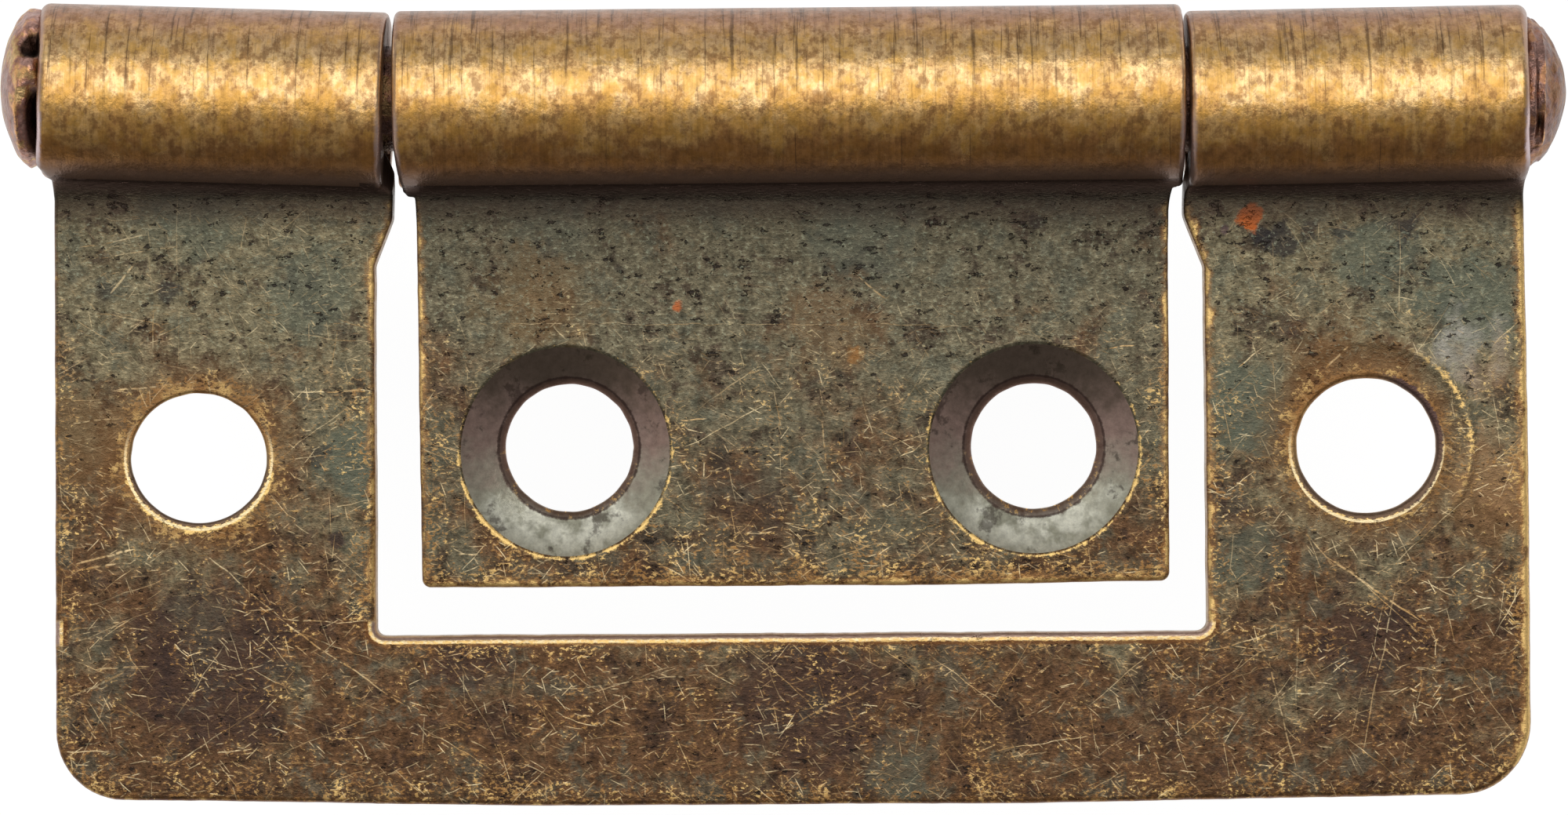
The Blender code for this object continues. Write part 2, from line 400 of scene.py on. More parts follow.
@dataclass(frozen=True)
class ScrewHole:
    """One screw hole with its countersink, whose mouth may sit off the bore."""

    x: float
    run: float
    bore_x: float
    bore_run: float
    mouth_x: float
    mouth_run: float
    mouth: float
    face: Face
    land: float = 0.2
    ledge: float = 0.23
    chamfer: float = 0.17
    hollow: float = 0.035
    worn: float = 0.03
    oval_reach: float = 0.6
    chip: float = 0.012
    chip_reach: float = 0.08
    collar: float = 0.0
    collar_radius: float = 3.5
    patch: float = 4.2
    steps: int = 144

    @property
    def bore(self) -> float:
        """The bore's mean radius."""
        return (self.bore_x + self.bore_run) / 2

    def away(self, places: np.ndarray) -> np.ndarray:
        """Distance of each row of x and run from the middle of the mouth."""
        return np.hypot(places[:, 0] - self.mouth_x, places[:, 1] - self.mouth_run)

    def profile(self, half: float) -> tuple[np.ndarray, np.ndarray]:
        """The wall's section as radii and lifts, from the front of the plate to its back.

        A countersink on the front starts with a small raised lip and goes down a slightly
        hollow cone to the land. One on the back shows a worn rim on the front.

        Args:
            half: Half the sheet's thickness.

        Returns:
            Radii and lifts, in order.
        """
        bore, mouth = self.bore, self.mouth
        cone = np.linspace(0, 1, CONE_STEPS)
        hollow = self.hollow * np.sin(math.pi * cone)
        if self.face is Face.FRONT:
            step = bore + self.ledge
            radii = [self.patch, mouth + 0.3, mouth + 0.14, mouth + 0.06]
            radii += [mouth + 0.01, mouth - 0.03]
            lifts = [half, half, half + 0.006, half + 0.017, half + 0.012, half - 0.012]
            radii += (mouth - 0.07 + (step - mouth + 0.07) * cone).tolist()
            low = self.land + self.chamfer - half
            lifts += (half - 0.045 + (low - half + 0.045) * cone - hollow).tolist()
            radii += [step - 0.03, step - 0.1, bore + 0.03, bore, bore, bore + 0.05]
            lifts += [low - 0.012, low - 0.08, self.land - half + 0.02, self.land - half - 0.03]
            lifts += [0.04 - half, -half]
        else:
            turn = np.linspace(0, math.pi / 2, ROUND_STEPS)
            flat = np.linspace(self.patch, bore + self.worn + 0.03, 26)
            radii = flat.tolist() + (bore + self.worn * (1 - np.sin(turn))).tolist()
            lifts = [half] * len(flat) + (half - self.worn * (1 - np.cos(turn))).tolist()
            wall = half - self.land
            radii += [bore, bore] + (bore + (mouth - bore) * cone).tolist()[1:]
            lifts += [half - self.worn - 0.02, wall] + (wall - (wall + half) * cone).tolist()[1:]
        radii.append(self.patch)
        lifts.append(-half)
        return np.array(radii), np.array(lifts)

    def wall(self, half: float) -> tuple[np.ndarray, np.ndarray]:
        """The hole's surface on a grid: its section turned about an axis that shifts with radius.

        Args:
            half: Half the sheet's thickness.

        Returns:
            Points as x, run and lift, angle by section, and the section's radius at each.
        """
        radii, lifts = self.profile(half)
        angles = math.tau * np.arange(self.steps) / self.steps
        bore, cosine, sine = self.bore, np.cos(angles)[:, None], np.sin(angles)[:, None]
        shift = ease((radii - bore) / (self.mouth - bore))
        oval = 1 - ease((radii - bore) / self.oval_reach)
        centre_x = self.x + (self.mouth_x - self.x) * shift
        centre_run = self.run + (self.mouth_run - self.run) * shift
        x = centre_x + (radii + (self.bore_x - bore) * oval) * cosine
        run = centre_run + (radii + (self.bore_run - bore) * oval) * sine
        near = np.exp(-(((radii - bore) / self.chip_reach) ** 2))
        chips = swell(angles * 6, np.zeros_like(angles), 1.0, 31 + int(self.x * 7) % 50)
        raised = np.exp(-(((radii - self.collar_radius) / 0.2) ** 2))
        raised = raised - 0.4 * np.exp(-(((radii - self.collar_radius + 0.6) / 0.3) ** 2))
        turned = (0.5 + 0.5 * np.cos(angles - 0.35)[:, None]) ** 2
        lift = lifts + self.collar * raised * turned * (lifts > half - 0.01)
        chipped = self.chip * near * chips[:, None]
        x, run = x + chipped * cosine, run + chipped * sine
        return np.stack([x, run, lift], axis=2), np.broadcast_to(radii, x.shape)


@dataclass(frozen=True)
class KnuckleLean:
    """A knuckle's turn in the plane of the leaf, about its own middle."""

    low: float
    high: float
    yaw: float
    spare: float = 0.8

    def shift(self, x: np.ndarray, run: np.ndarray, lift: np.ndarray, y: np.ndarray) -> np.ndarray:
        """How far the lean moves each point: a turn by yaw that grows from plate to curl.

        The bore leans half as much as the outside, so that it stays clear of the pin.

        Args:
            x: Place along the pin.
            run: Place along the sheet.
            lift: Height over the middle of the sheet.
            y: Distance in front of or behind the pin's axis.

        Returns:
            Shifts along x and y, one row each.
        """
        middle = (self.low + self.high) / 2
        share = ease(run / 1.5) * (0.75 + lift / 2.4)
        share = np.where((x > self.low - self.spare) & (x < self.high + self.spare), share, 0)
        turn = math.tan(math.radians(self.yaw)) * share
        return np.stack([-turn * y, turn * (x - middle)], axis=1)


@dataclass
class LeafSkin:
    """The whole surface of a leaf, worked out on its developed sheet."""

    section: SheetSection
    outline: Outline
    holes: list[ScrewHole]
    leans: list[KnuckleLean]
    seed: int = 11
    back_round: float = 0.07
    plate_step: float = 0.28
    bend_step: float = 0.09
    curl_step: float = 0.13
    swell_height: float = 0.010
    knuckle_run: float = 1.5
    patch_margin: float = 0.12
    plate_margin: float = 0.40
    curl_margin: float = 0.46

    def _rim(self) -> np.ndarray:
        """The sheared edge on a grid: an edge profile carried along the outline.

        The profile is a quarter round worn into the front, a flat wall and a small quarter
        round at the back. Each point moves towards the metal by its inset.

        Returns:
            Points as x, run and lift, outline by profile.
        """
        half, worn = self.section.half, self.outline.worn[:, None]
        turn = np.linspace(0, math.pi / 2, ROUND_STEPS)
        front_inset, front_lift = worn * (1 - np.sin(turn)), half - worn * (1 - np.cos(turn))
        wall_top, wall_low = half - worn, self.back_round - half
        wall_lift = wall_top + (wall_low - wall_top) * np.array([0.25, 0.5, 0.75])
        back = turn[::-2]
        count = len(self.outline.points)
        back_inset = np.tile(self.back_round * (1 - np.sin(back)), (count, 1))
        back_lift = np.tile(self.back_round * (1 - np.cos(back)) - half, (count, 1))
        inset = np.concatenate([front_inset, 0 * wall_lift, back_inset], axis=1)
        lift = np.concatenate([front_lift, wall_lift, back_lift], axis=1)
        places = self.outline.points[:, None] + self.outline.inward[:, None] * inset[..., None]
        return np.concatenate([places, lift[..., None]], axis=2)

    def _field(self) -> np.ndarray:
        """Loose points over the sheet, closer along the bends, clear of edges and holes."""
        section, (x, run) = self.section, self.outline.points.T
        plate = np.arange(run.min(), -0.4, self.plate_step)
        joggle = np.arange(-0.3, section.joggle_length + 0.2, self.bend_step)
        curl = np.arange(joggle[-1] + self.curl_step, section.end, self.curl_step)
        runs = np.concatenate([plate, joggle, curl])
        columns = np.arange(x.min(), x.max(), self.plate_step)
        places = np.stack([axis.ravel() for axis in np.meshgrid(columns, runs)], axis=1)
        places = places[self.outline.holds(places)]
        curled = places[:, 1] > self.knuckle_run
        margin = np.where(curled, self.curl_margin, self.plate_margin)
        places = places[self.outline.distance(places) > margin]
        for hole in self.holes:
            places = places[hole.away(places) > hole.patch + self.patch_margin]
        return places

    def _fill(self, loops: list[np.ndarray], loose: np.ndarray) -> np.ndarray:
        """Triangles between the outline's loop, the holes' loops and the loose points.

        Args:
            loops: Rows of x and run for each closed loop, the outline's first.
            loose: Rows of x and run inside them.

        Returns:
            Rows of three numbers that count through the loops and then the loose points.
        """
        edges, start = [], 0
        for loop in loops:
            index = np.arange(start, start + len(loop))
            edges.append(np.stack([index, np.roll(index, -1)], axis=1))
            start += len(loop)
        places = np.concatenate([*loops, loose])
        ties = np.concatenate(edges).tolist()
        made = geometry.delaunay_2d_cdt(places.tolist(), ties, [], 1, 1e-7)
        if len(made[0]) > len(places):
            log.warning("an outline crosses itself: %d extra points", len(made[0]) - len(places))
        origin = np.array([came[0] if came else 0 for came in made[3]])
        triangles = origin[np.array([face for face in made[2] if len(face) == 3])]
        middles = places[triangles].mean(axis=1)
        solid = np.ones(len(triangles), bool)
        for hole in self.holes:
            solid &= hole.away(middles) > hole.patch
        return triangles[solid]

    def build(self, name: str) -> bpy.types.Object:
        """Makes the leaf's mesh: rim, hole walls and the two filled faces, then bends it.

        Args:
            name: The piece's name.

        Returns:
            The leaf, with its developed place, edge distance and hole radius at each point.
        """
        half = self.section.half
        rim = self._rim()
        walls = [hole.wall(half) for hole in self.holes]
        loose = self._field()
        grids = [rim, *(wall for wall, _ in walls)]
        blocks = [grid.reshape(-1, 3) for grid in grids]
        for side in (half, -half):
            blocks.append(np.column_stack([loose, np.full(len(loose), side)]))
        starts = np.cumsum([0] + [len(block) for block in blocks])
        index = [
            (start + np.arange(len(block))).reshape(grid.shape[:2])
            for start, block, grid in zip(starts, blocks, grids)
        ]
        faces = [grid_faces(index[0])[:, ::-1]]
        faces += [grid_faces(part) for part in index[1:]]
        for column, start, step in ((0, starts[-3], 1), (-1, starts[-2], -1)):
            loops = [grid[:, column, :2] for grid in grids]
            numbers = [part[:, column] for part in index] + [start + np.arange(len(loose))]
            faces.append(np.concatenate(numbers)[self._fill(loops, loose)][:, ::step])
        sheet = np.concatenate(blocks)
        edge = self.outline.distance(sheet[:, :2])
        bore = np.full(len(sheet), AFAR)
        for hole in self.holes:
            bore = np.minimum(bore, hole.away(sheet))
        zones = np.where(sheet[:, 1] > self.knuckle_run, 1, 0)
        for hole, (_, radii), start in zip(self.holes, walls, starts[1:]):
            part = slice(start, start + radii.size)
            bore[part] = radii.ravel()
            cut = (radii.ravel() < hole.mouth) & (sheet[part, 2] < half - hole.worn)
            zones[part] = np.where(cut & (sheet[part, 2] > 0.01 - half), 2, 0)
        values = {"sheet": sheet, "edge": np.minimum(edge, WIDEST_EDGE), "bore": bore}
        return new_piece(name, self._bend(sheet), faces, values, zones)

    def _bend(self, sheet: np.ndarray) -> np.ndarray:
        """Adds the hand-worked unevenness and bends the sheet into place.

        Args:
            sheet: Rows of x, run and lift.

        Returns:
            Points in the frame, in millimetres.
        """
        x, run, lift = sheet.T
        uneven = swell(x, run, 5.5, self.seed) + 0.35 * swell(x, run, 1.4, self.seed + 1)
        points = self.section.place(x, run, lift + self.swell_height * uneven)
        for lean in self.leans:
            points[:, :2] += lean.shift(x, run, lift, points[:, 1] - AXIS_Y)
        return points


@dataclass
class OuterLeaf:
    """The framed leaf with the two end knuckles, a little out of square from use."""

    section: SheetSection
    knuckle_end: float = 24.98
    end_worn: float = 0.34
    gap_worn: float = 0.2
    side_worn: float = 0.26
    window_worn: float = 0.3

    def outline(self) -> Outline:
        """The frame anticlockwise from the plate's lower left corner."""
        end, tip, worn = self.section.end, self.knuckle_end, self.end_worn
        gap, side = self.gap_worn, self.side_worn
        return Outline(
            [
                Corner(-24.30, -19.95, 2.3),
                Corner(-7.84, -20.18, 60),
                Corner(8.39, -20.08, 60),
                Corner(24.99, -19.76, 2.4, side),
                Corner(24.90, -9.0, 20, side),
                Corner(24.69, 1.2, 0.3),
                Corner(24.78, 2.0, 0.45, worn),
                Corner(24.68, 3.4, 3, worn),
                Corner(24.68, 5.9, 3, worn),
                Corner(24.90, 8.3, 3, worn),
                Corner(tip, end, 0.6, worn),
                Corner(13.47, end, 0.3, gap),
                Corner(13.47, 1.2, 0.3, gap),
                Corner(13.36, 0.5, 0.3),
                Corner(13.36, -0.45, 0.8),
                Corner(14.05, -2.15, 0.6),
                Corner(14.17, -14.35, 0.35),
                Corner(-13.60, -14.51, 0.27, self.window_worn),
                Corner(-13.66, -2.15, 0.5),
                Corner(-13.06, -0.6, 0.6),
                Corner(-13.03, 0.75, 0.24),
                Corner(-13.32, 1.6, 0.25, gap),
                Corner(-13.30, 6.5, 2, gap),
                Corner(-13.17, end, 0.3, gap),
                Corner(-tip, end, 0.6, worn),
                Corner(-24.92, 8.3, 3, worn),
                Corner(-24.69, 5.9, 3, worn),
                Corner(-24.70, 3.4, 3, worn),
                Corner(-24.81, 2.0, 0.45, worn),
                Corner(-24.36, 1.2, 0.3),
            ]
        )

    def holes(self) -> list[ScrewHole]:
        """Two plain holes with worn rims; their countersinks are on the back."""
        left = {"x": -19.53, "run": -8.57, "bore_x": 2.26, "bore_run": 2.162, "worn": 0.12}
        left |= {"mouth_x": -19.53, "mouth_run": -8.5}
        right = {"x": 19.46, "run": -8.15, "bore_x": 2.318, "bore_run": 2.246, "worn": 0.2}
        right |= {"mouth_x": 19.46, "mouth_run": -8.15, "collar": 0.07}
        return [ScrewHole(**sizes, mouth=3.75, face=Face.BACK) for sizes in (left, right)]

    def build(self) -> bpy.types.Object:
        """Makes the leaf, which rides on its own body and stands for its solid."""
        leans = [KnuckleLean(-25.0, -13.3, -1.6), KnuckleLean(13.5, 25.0, 1.07)]
        skin = LeafSkin(self.section, self.outline(), self.holes(), leans)
        piece = skin.build("outer_leaf_skin")
        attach(piece, Body.OUTER.value)
        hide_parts("outer_leaf")
        return piece


@dataclass
class InnerLeaf:
    """The leaf that closes inside the window, with the long centre knuckle."""

    section: SheetSection
    knuckle_low: float = -12.97
    knuckle_high: float = 13.30
    gap_worn: float = 0.2

    def outline(self) -> Outline:
        """The leaf anticlockwise from the plate's lower left corner."""
        end, low, high = self.section.end, self.knuckle_low, self.knuckle_high
        gap = self.gap_worn
        return Outline(
            [
                Corner(-12.07, -12.90, 0.3),
                Corner(6.5, -12.79, 60),
                Corner(12.90, -12.66, 0.33),
                Corner(12.84, -0.3, 0.4, 0.12),
                Corner(12.97, 0.80, 0.14, 0.1),
                Corner(high, 0.82, 0.2, 0.16),
                Corner(high, 3.0, 2, gap),
                Corner(high, end, 0.3, gap),
                Corner(low, end, 0.3, gap),
                Corner(low, 3.3, 1.0, gap),
                Corner(-12.72, 0.65, 0.3, 0.16),
                Corner(-12.55, 0.28, 0.14, 0.1),
                Corner(-12.33, 0.25, 0.12, 0.1),
                Corner(-12.27, -0.6, 0.5, 0.14),
            ],
            seed=23,
        )

    def holes(self) -> list[ScrewHole]:
        """Two countersunk holes, their mouths a little below the bores."""
        left = {"x": -7.18, "run": -8.23, "bore_x": 2.139, "bore_run": 2.139}
        left |= {"mouth_x": -7.29, "mouth_run": -8.36}
        right = {"x": 8.387, "run": -8.165, "bore_x": 2.10, "bore_run": 2.10}
        right |= {"mouth_x": 8.352, "mouth_run": -8.25}
        return [ScrewHole(**sizes, mouth=3.56, face=Face.FRONT) for sizes in (left, right)]

    def build(self) -> bpy.types.Object:
        """Makes the leaf, which rides on its own body and stands for its solid."""
        leans = [KnuckleLean(self.knuckle_low, self.knuckle_high, 0.53)]
        skin = LeafSkin(self.section, self.outline(), self.holes(), leans, seed=41)
        piece = skin.build("inner_leaf_skin")
        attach(piece, Body.INNER.value)
        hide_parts("inner_leaf")
        return piece


@dataclass(frozen=True)
class Dent:
    """A mark hammered into a pin head, or a lump left by it.

    Its place is seen from the front: y from the head's middle and out from the knuckle.
    """

    y: float
    out: float
    size_y: float
    size_out: float
    rise: float


@dataclass(frozen=True)
class PinHead:
    """One peened end of the pin."""

    side: int
    seat: float
    radius: float
    height: float
    bulge: float
    taper: float
    shift_y: float
    dents: tuple[Dent, ...]
    seed: int
    steps: int = 40

    def surface(self, angles: np.ndarray) -> tuple[np.ndarray, ...]:
        """The head from its seat to its pole, angle by step.

        The plain head flares from the pin, and then its radius is that of the rim times
        1 less the share of the height to the power bulge, all to the power taper. Each dent
        adds its rise to the radius, fading as a bell curve along y and outwards, on the front.

        Args:
            angles: Angles round the pin, from +Y towards +Z.

        Returns:
            Arrays of x, y, z and how proud or deep each point stands.
        """
        share = np.sin(np.linspace(0.02, math.pi / 2, self.steps))[:-1]
        out = np.concatenate([[-0.27, -0.25, -0.18, -0.09], self.height * share])
        dome = self.radius * (1 - share**self.bulge) ** self.taper
        plain = np.concatenate([self.radius * np.array([0.7, 0.94, 0.975, 0.99]), dome])
        y = plain * np.cos(angles)[:, None]
        z = plain * np.sin(angles)[:, None]
        front = ease(z / 0.9 + 0.1)
        rise = np.zeros_like(y)
        for dent in self.dents:
            bell = ((y + self.shift_y - dent.y) / dent.size_y) ** 2
            bell = bell + ((out - dent.out) / dent.size_out) ** 2
            rise = rise + dent.rise * np.exp(-bell) * front
        turn, height = np.broadcast_arrays(angles[:, None], out)
        rough = swell(turn * 2.4, height * 3.2, 1.0, self.seed)
        rough = rough + 0.7 * swell(turn * 6, height * 7, 1.0, self.seed + 1)
        seat = ease((out + 0.25) / 0.12)
        reach = np.maximum(plain + (rise + 0.08 * rough) * seat * (plain / self.radius), 0.01)
        grown = out + 0.03 * swell(y * 1.3, z * 1.3, 1.0, self.seed + 3) * ease(out / 0.5)
        y = reach * np.cos(angles)[:, None] + self.shift_y
        z = reach * np.sin(angles)[:, None]
        return self.side * (self.seat + grown), y, z, rise


@dataclass
class HingePin:
    """The pin with a peened head at each end, as one closed turned surface."""

    radius: float = 1.75
    around: int = 128

    def heads(self) -> tuple[PinHead, PinHead]:
        """The lumpy left head and the two-tiered right one."""
        left = (
            Dent(1.75, -0.12, 0.42, 0.5, -0.62),
            Dent(-0.95, -0.15, 1.15, 0.36, -0.5),
            Dent(0.75, 0.1, 0.42, 0.5, 0.14),
            Dent(-0.9, 0.5, 1.3, 0.1, 0.16),
            Dent(-0.15, 0.66, 0.3, 0.12, 0.1),
            Dent(2.3, 0.3, 0.3, 0.16, 0.14),
            Dent(1.1, 0.82, 0.5, 0.1, -0.07),
            Dent(-1.6, 0.7, 0.5, 0.1, 0.05),
            Dent(0.2, 1.0, 0.4, 0.1, -0.05),
        )
        right = (
            Dent(0.2, 0.4, 2.2, 0.05, 0.1),
            Dent(0.4, 0.2, 1.9, 0.08, -0.1),
            Dent(0.5, 0.07, 2.0, 0.05, 0.06),
            Dent(-0.95, 0.27, 0.4, 0.1, -0.2),
            Dent(-1.3, 0.42, 0.22, 0.07, 0.12),
            Dent(0.5, 0.72, 0.8, 0.14, -0.06),
            Dent(-0.75, 0.95, 0.09, 0.06, -0.08),
            Dent(-1.1, 0.66, 0.4, 0.1, 0.05),
        )
        plain = {"side": -1, "seat": 24.92, "radius": 2.66, "height": 1.25, "shift_y": 0.35}
        tiered = {"side": 1, "seat": 24.82, "radius": 2.54, "height": 1.36, "shift_y": 0.21}
        return (
            PinHead(**plain, bulge=2.0, taper=0.5, dents=left, seed=61),
            PinHead(**tiered, bulge=1.6, taper=0.6, dents=right, seed=83),
        )

    def build(self) -> bpy.types.Object:
        """Makes the pin: left head, shank and right head on one grid, closed at both poles."""
        angles = math.tau * np.arange(self.around) / self.around
        heads = self.heads()
        left, right = (head.surface(angles) for head in heads)
        shank = np.linspace(-heads[0].seat, heads[1].seat, 41)
        cosine, sine = np.cos(angles)[:, None], np.sin(angles)[:, None]
        middle = np.broadcast_arrays(shank, self.radius * cosine, self.radius * sine)
        layers = []
        for near, plain, far in zip(left[:3], middle, right[:3]):
            layers.append(np.concatenate([near[:, ::-1], plain, far], axis=1))
        proud = np.concatenate([left[3][:, ::-1], 0 * middle[0], right[3]], axis=1)
        grid = np.stack(layers, axis=2) + np.array([0, AXIS_Y, AXIS_Z])
        index = np.arange(proud.size).reshape(proud.shape)
        poles = np.stack([grid[:, 0].mean(axis=0), grid[:, -1].mean(axis=0)])
        points = np.concatenate([grid.reshape(-1, 3), poles])
        following = np.roll(index, -1, axis=0)
        pole = np.full(self.around, proud.size)
        low = np.stack([pole, index[:, 0], following[:, 0]], axis=1)
        high = np.stack([pole + 1, following[:, -1], index[:, -1]], axis=1)
        faces = [grid_faces(index)[:, ::-1], low, high]
        values = {"proud": np.append(proud.ravel(), [0.0, 0.0])}
        piece = new_piece("hinge_pin_skin", points, faces, values, sharp=60)
        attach(piece, Body.OUTER.value)
        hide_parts("hinge_pin")
        return piece


class Wire:
    """A value in a node tree, which adds and multiplies as a plain number does."""

    def __init__(self, graph: "Graph", socket: Socket) -> None:
        """Keeps the tree and the output that carries the value."""
        self.graph, self.socket = graph, socket

    def __add__(self, other: "Input") -> "Wire":
        """The sum of two values."""
        return self.graph.math("ADD", self, other)

    def __sub__(self, other: "Input") -> "Wire":
        """The difference of two values."""
        return self.graph.math("SUBTRACT", self, other)

    def __rsub__(self, other: float) -> "Wire":
        """What is left of a plain number."""
        return self.graph.math("SUBTRACT", other, self)

    def __mul__(self, other: "Input") -> "Wire":
        """The product of two values."""
        return self.graph.math("MULTIPLY", self, other)

    def __or__(self, other: "Input") -> "Wire":
        """The greater of two values, which puts two masks together."""
        return self.graph.math("MAXIMUM", self, other)

    def __abs__(self) -> "Wire":
        """The value without its sign."""
        return self.graph.math("ABSOLUTE", self)

    def step(self, low: "Input", high: "Input") -> "Wire":
        """0 below low, 1 above high and a smooth rise between; falls if low is the higher."""
        inputs = {"Value": self, "From Min": low, "From Max": high}
        return self.graph.wire("MapRange", inputs, interpolation_type="SMOOTHSTEP")

    def span(self, low: float, high: float, to_low: float, to_high: float) -> "Wire":
        """Carries a range of numbers onto another in a straight line, and holds it there."""
        inputs = {"Value": self, "From Min": low, "From Max": high}
        return self.graph.wire("MapRange", inputs | {"To Min": to_low, "To Max": to_high})


Input = Wire | Socket | float | tuple


class Graph:
    """A node tree that is written as sums on wires and plain numbers."""

    def __init__(self, tree: bpy.types.NodeTree) -> None:
        """Keeps the tree that the nodes go into."""
        self.tree = tree

    def feed(self, socket: Socket, value: Input) -> None:
        """Links an input to a wire or an output, or sets its own value.

        Args:
            socket: The input.
            value: What it takes.
        """
        value = value.socket if isinstance(value, Wire) else value
        if isinstance(value, Socket):
            self.tree.links.new(value, socket)
        else:
            socket.default_value = value

    def add(self, kind: str, inputs: dict | None = None, **settings: object) -> bpy.types.Node:
        """Adds a node.

        Args:
            kind: The node's type, without the word ShaderNode.
            inputs: Values or wires by input name or number.
            settings: The node's own options.

        Returns:
            The node.
        """
        node = self.tree.nodes.new("ShaderNode" + kind)
        for key, value in settings.items():
            setattr(node, key, value)
        for key, value in (inputs or {}).items():
            self.feed(node.inputs[key], value)
        return node

    def wire(self, kind: str, inputs: dict, output: int | str = 0, **settings: object) -> Wire:
        """Adds a node and gives one of its outputs."""
        return Wire(self, self.add(kind, inputs, **settings).outputs[output])

    def math(self, operation: str, *terms: Input, clamp: bool = False) -> Wire:
        """One step of arithmetic on numbers."""
        inputs = dict(enumerate(terms))
        return self.wire("Math", inputs, operation=operation, use_clamp=clamp)

    def vector(self, operation: str, *terms: Input, output: str = "Vector") -> Wire:
        """One step of arithmetic on vectors."""
        return self.wire("VectorMath", dict(enumerate(terms)), output, operation=operation)

    def scaled(self, vector: Input, factor: Input) -> Wire:
        """A vector times a number."""
        return self.wire("VectorMath", {0: vector, "Scale": factor}, operation="SCALE")

    def parts(self, vector: Input) -> list[Wire]:
        """The three numbers of a vector."""
        return [Wire(self, part) for part in self.add("SeparateXYZ", {0: vector}).outputs]

    def mix(self, share: Input, low: Input, high: Input) -> Wire:
        """Blends two colours by a share."""
        return self.wire("Mix", {0: share, 6: low, 7: high}, 2, data_type="RGBA")

    def noise(
        self, place: Input, per_mm: float, detail: float, rough: float = 0.5, kind: str = "2D"
    ) -> Wire:
        """Cloudy noise between 0 and 1."""
        inputs = {"Vector": place, "Scale": per_mm, "Detail": detail, "Roughness": rough}
        return self.wire("TexNoise", inputs, noise_dimensions=kind)

    def group(self, tree: bpy.types.NodeTree, inputs: dict) -> list[Wire]:
        """Places a node group with its own values.

        Args:
            tree: The group's tree.
            inputs: Values or wires by input name.

        Returns:
            Its outputs.
        """
        node = self.tree.nodes.new("ShaderNodeGroup")
        node.node_tree = tree
        for key, value in inputs.items():
            self.feed(node.inputs[key], value)
        return [Wire(self, output) for output in node.outputs]


class Effect(Graph):
    """A shader node group with named inputs and outputs."""

    def __init__(self, name: str, inputs: dict[str, float | tuple]) -> None:
        """Starts the group.

        Args:
            name: The group's name.
            inputs: Its inputs with their first values; a tuple makes a vector.
        """
        super().__init__(bpy.data.node_groups.new(name, "ShaderNodeTree"))
        for label, value in inputs.items():
            kind = "NodeSocketVector" if isinstance(value, tuple) else "NodeSocketFloat"
            made = self.tree.interface.new_socket(label, in_out="INPUT", socket_type=kind)
            made.default_value = value
        start = self.tree.nodes.new("NodeGroupInput")
        self.source = {label: Wire(self, start.outputs[label]) for label in inputs}

    def give(self, **outputs: Wire) -> bpy.types.NodeTree:
        """Ends the group.

        Args:
            outputs: What each named output gives.

        Returns:
            The group's tree.
        """
        for label in outputs:
            kind = "NodeSocketFloat"
            self.tree.interface.new_socket(label, in_out="OUTPUT", socket_type=kind)
        stop = self.tree.nodes.new("NodeGroupOutput")
        for label, value in outputs.items():
            self.feed(stop.inputs[label], value)
        return self.tree


